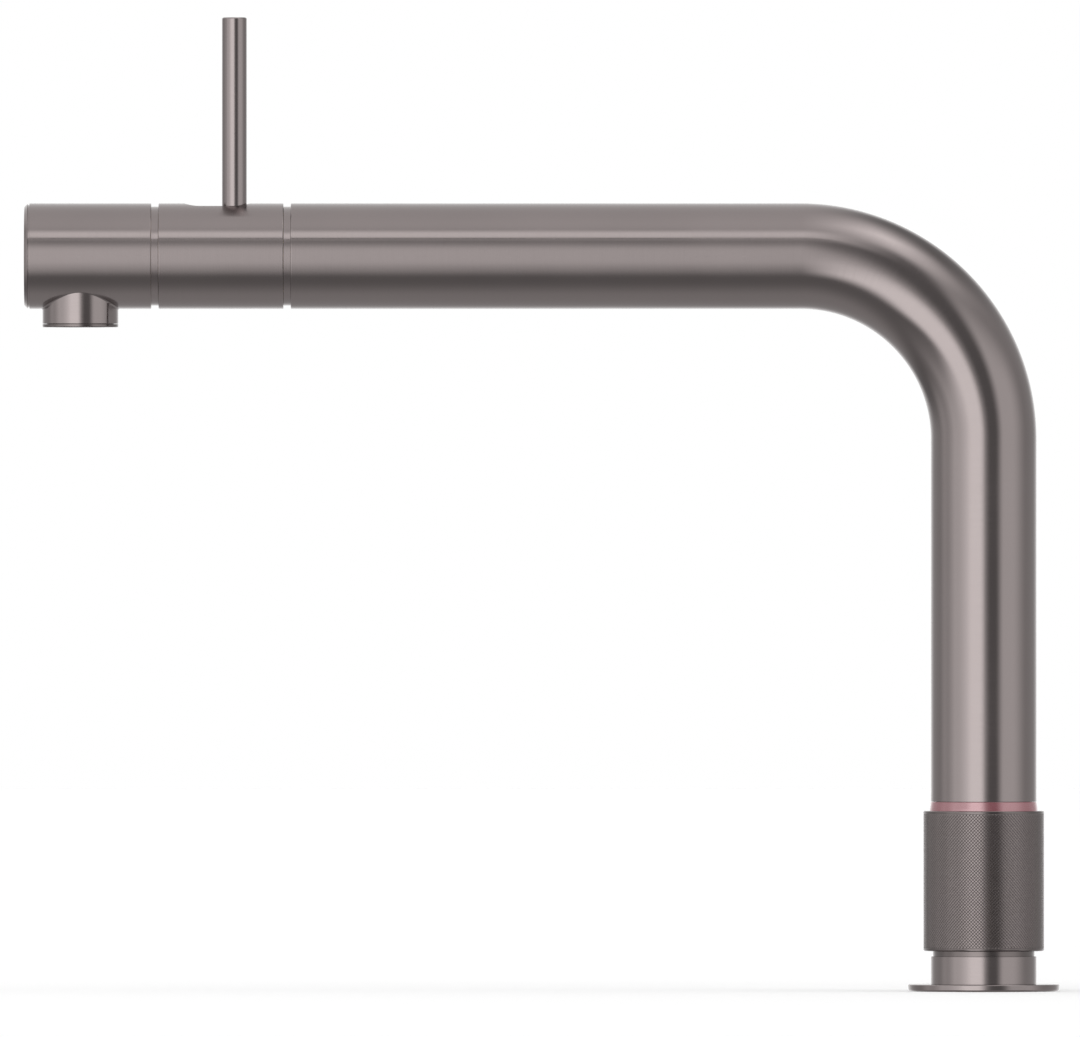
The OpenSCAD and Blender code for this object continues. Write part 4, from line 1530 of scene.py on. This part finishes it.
        centre, to_face, to_wall = ball(s.tube_r, 1.0, self.slot_edge)
        spread(s.tube_r, 1.0, centre + self.slot_edge * to_face, self.outer_shares)
        loops.roll((centre, to_face, to_wall), self.slot_edge, self.slot_rounds)
        centre, to_face, to_wall = ball(s.bore_r, -1.0, self.edge)
        loops.roll((centre, to_wall, to_face), self.edge, self.bore_rounds)
        spread(s.bore_r, -1.0, centre + self.edge * to_face, self.inner_shares)
        points = np.array(loops.points) + [0.0, 0.0, s.arm_z]
        return points, np.array(loops.normals), np.array(loops.edge)


@dataclass
class Lever(Assembly):
    """The pin lever."""

    foot_z: float = lowest("lever_rod", Z)
    top_z: float = highest("lever_rod", Z)
    foot_edge: float = 0.2
    top_edge: float = 0.5
    around: int = 64

    def build(self) -> None:
        """Makes and dresses the lever."""
        radius = self.sizes.lever_r
        pin = Outline(
            (
                (self.foot_z, 0.0, 0.0), (self.foot_z, radius, self.foot_edge),
                (self.top_z, radius, self.top_edge), (self.top_z, 0.0, 0.0),
            ),
            closed=False,
            steps=6,
        )
        path = StraightPath((self.sizes.lever_x, 0.0, 0.0))
        self.make("pin_lever", "lever", Slot.SATIN, swept(pin, path, self.around), "lever_rod")


@dataclass
class OutletEnd(Assembly):
    """The arm's tip: its tube with the outlet's boss, the end disc and the outlet's rim."""

    cap_t: float = 1.1
    cap_floor: float = 2.5
    cap_cup: float = 3.0
    cap_wall: float = 2.0
    joint: float = 0.45
    joint_edge: float = 0.12
    end_edge: float = 0.25
    inner_edge: float = 0.2
    slip: float = 0.05
    boss_bore: float = 10.2
    boss_z: float = lowest("tip_housing", Z)
    boss_edge: float = 0.12
    foot_rounds: int = 4
    boss_into: float = 0.95
    rim_z: float = lowest("aerator_housing", Z)
    rim_top: float = highest("aerator_housing", Z)
    rim_gap: float = 0.15
    rim_lip: float = 0.6
    rim_lip_r: float = 8.3
    rim_bore: float = 8.9
    weld: float = 0.45
    weld_gap: float = 0.02
    weld_rounds: int = 7
    columns: int = 128
    around: int = 144

    def build(self) -> None:
        """Makes and dresses the pieces of the outlet end."""
        s = self.sizes
        low = s.tip_x + self.cap_t
        step_x, step_r = low + self.joint, s.tube_r - self.joint
        tube = Outline(
            (
                (low, s.bore_r, FINE), (low, step_r, FINE), (step_x, step_r, FINE),
                (step_x, s.tube_r, self.joint_edge), (s.tip_end, s.tube_r, self.end_edge),
                (s.tip_end, s.bore_r, EDGE),
            )
        )
        shell = swept(tube, s.arm, self.around).joined(self.boss())
        self.make("outlet_end", "spout", Slot.SATIN, shell, "tip_housing")
        cup_r, hollow_r = s.bore_r - self.slip, s.bore_r - self.cap_wall
        cup_x, floor_x = low + self.cap_cup, s.tip_x + self.cap_floor
        cap = Outline(
            (
                (s.tip_x, 0.0, 0.0), (s.tip_x, s.tube_r - self.cap_t, self.end_edge),
                (low, s.tube_r, self.joint_edge), (low, cup_r, EDGE), (cup_x, cup_r, SOFT),
                (cup_x, hollow_r, SOFT), (floor_x, hollow_r, self.inner_edge), (floor_x, 0.0, 0.0),
            ),
            closed=False,
        )
        self.make("end_disc", "spout", Slot.SATIN, swept(cap, s.arm), "tip_cap")
        edge_z, lip_z = self.boss_z - self.rim_gap, self.rim_z + self.rim_lip
        plug_r = self.boss_bore - self.slip
        rim = Outline(
            (
                (self.rim_z, self.rim_lip_r, EDGE), (self.rim_z, s.outlet_r, SOFT),
                (edge_z, s.outlet_r, EDGE), (edge_z, plug_r, FINE),
                (self.rim_top, plug_r, self.inner_edge), (self.rim_top, self.rim_bore, EDGE),
                (lip_z, self.rim_bore, EDGE), (lip_z, self.rim_lip_r, EDGE),
            )
        )
        path = StraightPath((s.outlet_x, 0.0, 0.0))
        self.make("outlet_rim", "spout", Slot.DARK, swept(rim, path), "aerator_housing")

    def boss(self) -> Surface:
        """The boss, welded to the arm by the path of a ball that touches both cylinders.

        The ball's centre is (boss radius + weld) from the outlet's axis and (tube radius + weld) from
        the arm's. It touches the boss level with its centre, and the tube on the line to the arm's axis.

        Returns:
            The closed surface of the boss, which ends inside the tube's wall.
        """
        s, n, weld, edge_r = self.sizes, self.columns, self.weld, self.boss_edge
        angle = 2 * math.pi * np.arange(n) / n
        cos, sin, zero = np.cos(angle), np.sin(angle), np.zeros(n)
        out, down = np.stack([cos, sin, zero], 1), np.array([0.0, 0.0, -1.0])
        reach = (s.outlet_r + weld) * sin
        depth = -np.sqrt((s.tube_r + weld) ** 2 - reach**2)
        centre = np.stack([(s.outlet_r + weld) * cos, reach, depth], 1)
        to_tube = np.stack([zero, -reach, -depth], 1) / (s.tube_r + weld)
        foot, bore = self.boss_z - s.arm_z, self.boss_bore
        loops = Loops()

        def level(radius: float, height: np.ndarray | float) -> np.ndarray:
            """Points at one radius round the outlet's axis."""
            return np.stack([radius * cos, radius * sin, zero + height], 1)

        for share in np.linspace(0, 1, self.foot_rounds):
            side, low = math.sin(share * math.pi / 2), math.cos(share * math.pi / 2)
            place = level(s.outlet_r - edge_r + edge_r * side, foot + edge_r - edge_r * low)
            loops.add(place, out * side + down * low, math.sin(math.pi * share))
        loops.add(level(s.outlet_r, depth - self.weld_gap), out)
        loops.roll((centre, -out, to_tube), weld, self.weld_rounds, hollow=True)
        loops.add(loops.points[-1] * [1, self.boss_into, self.boss_into], -to_tube)
        loops.add(level(bore, -np.sqrt((self.boss_into * s.tube_r) ** 2 - (bore * sin) ** 2)), -out)
        loops.add(level(bore, foot + EDGE), -out)
        loops.add(level(bore + EDGE, foot), down)
        points = np.array(loops.points)
        girth = np.linspace(0, 2 * math.pi, n + 1) * s.outlet_r
        return Surface(
            (points + [s.outlet_x, 0.0, s.arm_z]).reshape(-1, 3),
            [grid_faces(len(points), n)],
            [grid_places(points[..., 2].mean(1), girth)],
            np.array(loops.normals).reshape(-1, 3),
            np.array(loops.edge).ravel(),
        ).outward()


# The studio


@dataclass(frozen=True)
class SoftBox:
    """A soft light or a dark flag on the studio's chart, in degrees from the camera's direction.

    The chart is flat: its middle is the way to the camera, right is +X, up is +Z, and the distance from
    the middle is the angle away from the camera.
    """

    name: str
    x: float
    z: float
    half_width: float
    half_height: float
    soft_x: float
    soft_z: float
    level: float


@dataclass
class Studio:
    """Floor, surroundings and camera."""

    base_level: float = 0.59
    backdrop_from: float = 138.0
    backdrop_to: float = 165.0
    boxes: tuple[SoftBox, ...] = (
        SoftBox("upper_wall", -36, 118, 114, 63, 25, 13, 0.95),
        SoftBox("upper_flag", 69, 116, 40, 44, 30, 26, 0.36),
        SoftBox("top_box", 32.5, 76, 15, 13.5, 25, 35, 3.07),
        SoftBox("right_box", 51, -3, 34, 35, 22, 17, 1.2),
        SoftBox("floor_flag", -31, -50, 102, 27, 8, 22, 0.31),
        SoftBox("left_wall", -67, 3.5, 10, 37, 25, 37, 1.41),
        SoftBox("left_edge", -95, 0, 9, 30, 9, 25, 0.86),
        SoftBox("left_box", -27, -1, 24.5, 20, 24.5, 11, 1.92),
        SoftBox("right_flag", 19.7, 3.7, 15, 45, 9.7, 9.9, 0.26),
        SoftBox("strip_light", -29, 46.5, 39, 9, 17.5, 5.6, 1.89),
        SoftBox("strip_gap", -29.5, 38.5, 36.5, 1.4, 4, 1.6, 0.31),
        SoftBox("key_box", -17.4, -6.8, 14.6, 31, 7, 11, 2.18),
    )
    camera_x: float = -134.6
    camera_z: float = 143.4
    camera_distance: float = 12000.0
    frame_width: float = 327.6
    sensor: float = 36.0
    clip: tuple[float, float] = (0.1, 80.0)
    floor_rings: tuple[float, ...] = (17.5, 60.0, 200.0, 600.0, 2000.0, 9000.0)
    floor_columns: int = 96
    floor_colours: tuple[Colour, Colour] = ((0.86, 0.86, 0.86), (0.90, 0.90, 0.90))
    floor_grain: float = 400.0
    floor_glow: float = 0.14

    def build(self) -> None:
        """Makes the studio and the camera."""
        self._world()
        self._floor()
        self._camera()
        bpy.context.scene.view_settings.view_transform = "Standard"
        LOG.info("studio of %d boxes and flags", len(self.boxes))

    def _box_group(self) -> bpy.types.NodeTree:
        """Mask of one box: smooth steps of the distances from its middle, across and up, multiplied.

        Returns:
            The group.
        """
        words = ("", "Middle ", "In ", "Out ")
        names = tuple(word + axis for word in words for axis in ("X", "Z"))
        tree, given, result = new_group("soft_box", names, ("Mask",))
        sides = []
        for axis in ("X", "Z"):
            place, middle, inner, outer = (given[word + axis] for word in words)
            away = tree.math("ABSOLUTE", tree.math("SUBTRACT", place, middle))
            sides.append(tree.ramp(away, inner, outer, 1.0, 0.0))
        tree.fill(result, {"Mask": tree.math("MULTIPLY", *sides)})
        return tree.tree

    def _world(self) -> None:
        """Lights the object by the boxes, and shows plain white behind it.

        A direction's place on the chart is its angle from the camera's direction, laid off along its
        own X and Z. The white behind the object is the same that the camera sees.
        """
        world = bpy.data.worlds.new("studio")
        bpy.context.scene.world = world
        world.use_nodes = True
        tree = Tree(world.node_tree)
        group = self._box_group()
        x, y, z = tree.add("SeparateXYZ", {0: tree.add("TexCoord").outputs["Generated"]}).outputs
        angle = tree.math("DEGREES", tree.math("ARCCOSINE", tree.math("MULTIPLY", y, -1.0)))
        squares = [tree.math("MULTIPLY", side, side) for side in (x, z)]
        flat = tree.math("SQRT", tree.math("ADD", *squares))
        chart_x, chart_z = (
            tree.math("MULTIPLY", tree.math("DIVIDE", side, flat), angle) for side in (x, z)
        )
        level = self.base_level
        for box in self.boxes:
            inputs = {
                "X": chart_x, "Z": chart_z, "Middle X": box.x, "Middle Z": box.z,
                "In X": box.half_width - box.soft_x, "Out X": box.half_width + box.soft_x,
                "In Z": box.half_height - box.soft_z, "Out Z": box.half_height + box.soft_z,
            }
            mask = tree.add("Group", inputs, node_tree=group).outputs["Mask"]
            level = self._toward(tree, level, box.level, mask)
        backdrop = tree.ramp(angle, self.backdrop_from, self.backdrop_to, 0.0, 1.0)
        level = self._toward(tree, level, 1.0, backdrop)
        lit = tree.add("Background", {"Color": WHITE, "Strength": level})
        seen = tree.add("Background", {"Color": WHITE, "Strength": 1.0})
        tree.add("OutputWorld", {"Surface": self._by_camera(tree, lit, seen)})

    def _toward(self, tree: Tree, start: object, end: float, share: object) -> bpy.types.NodeSocket:
        """start + share * (end - start)."""
        return tree.math("MULTIPLY_ADD", tree.math("SUBTRACT", end, start), share, start)

    def _by_camera(
        self, tree: Tree, lit: bpy.types.Node, seen: bpy.types.Node
    ) -> bpy.types.NodeSocket:
        """The first shader for other rays, and the second for the camera's."""
        ray = tree.add("LightPath").outputs["Is Camera Ray"]
        return tree.add("MixShader", {0: ray, 1: lit.outputs[0], 2: seen.outputs[0]}).outputs[0]

    def _floor(self) -> None:
        """A wide white worktop with a hole for the shank, which keeps the object's shadow."""
        rings = np.array(self.floor_rings)[:, None]
        angle = 2 * math.pi * np.arange(self.floor_columns) / self.floor_columns
        points = np.stack([rings * np.cos(angle), rings * np.sin(angle), 0 * rings * angle], -1)
        faces = grid_faces(len(rings), self.floor_columns, closed=False)
        mesh = bpy.data.meshes.new("worktop")
        mesh.from_pydata((points.reshape(-1, 3) * MM).tolist(), [], faces.tolist())
        floor = in_scene("worktop", mesh)
        material, tree, place = start_material("white_floor", Coordinates.OBJECT)
        grain = tree.noise(place, self.floor_grain, Detail=2.0)
        matt = tree.add("BsdfDiffuse", {"Color": tree.mix(grain, *self.floor_colours)})
        glow = tree.add("Emission", {"Color": WHITE, "Strength": self.floor_glow})
        lifted = tree.add("AddShader", {0: matt.outputs[0], 1: glow.outputs[0]})
        tree.add("OutputMaterial", {"Surface": self._by_camera(tree, matt, lifted)})
        mesh.materials.append(material)
        floor.visible_glossy = False

    def _camera(self) -> None:
        """Looks level along +Y; the lens makes the frame's width at the object the photograph's."""
        data = bpy.data.cameras.new("camera")
        data.sensor_width = self.sensor
        data.lens = self.sensor * self.camera_distance / self.frame_width
        data.clip_start, data.clip_end = self.clip
        camera = in_scene("camera", data)
        camera.location = Vector((self.camera_x, -self.camera_distance, self.camera_z)) * MM
        camera.rotation_euler = (math.pi / 2, 0.0, 0.0)
        bpy.context.scene.camera = camera


def main() -> None:
    """Builds the sub-assemblies in order, then the studio."""
    logging.basicConfig(level=logging.INFO, format="%(name)s: %(message)s")
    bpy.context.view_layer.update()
    sizes = Sizes()
    finishes = Finishes(Effects())
    for assembly in (
        InnerParts, Base, WorktopClamp, ReturnSpring, ControlRing, Spout, MixingSleeve, Lever, OutletEnd
    ):
        assembly(sizes, finishes).build()
    Studio().build()


if __name__ == "__main__":
    main()
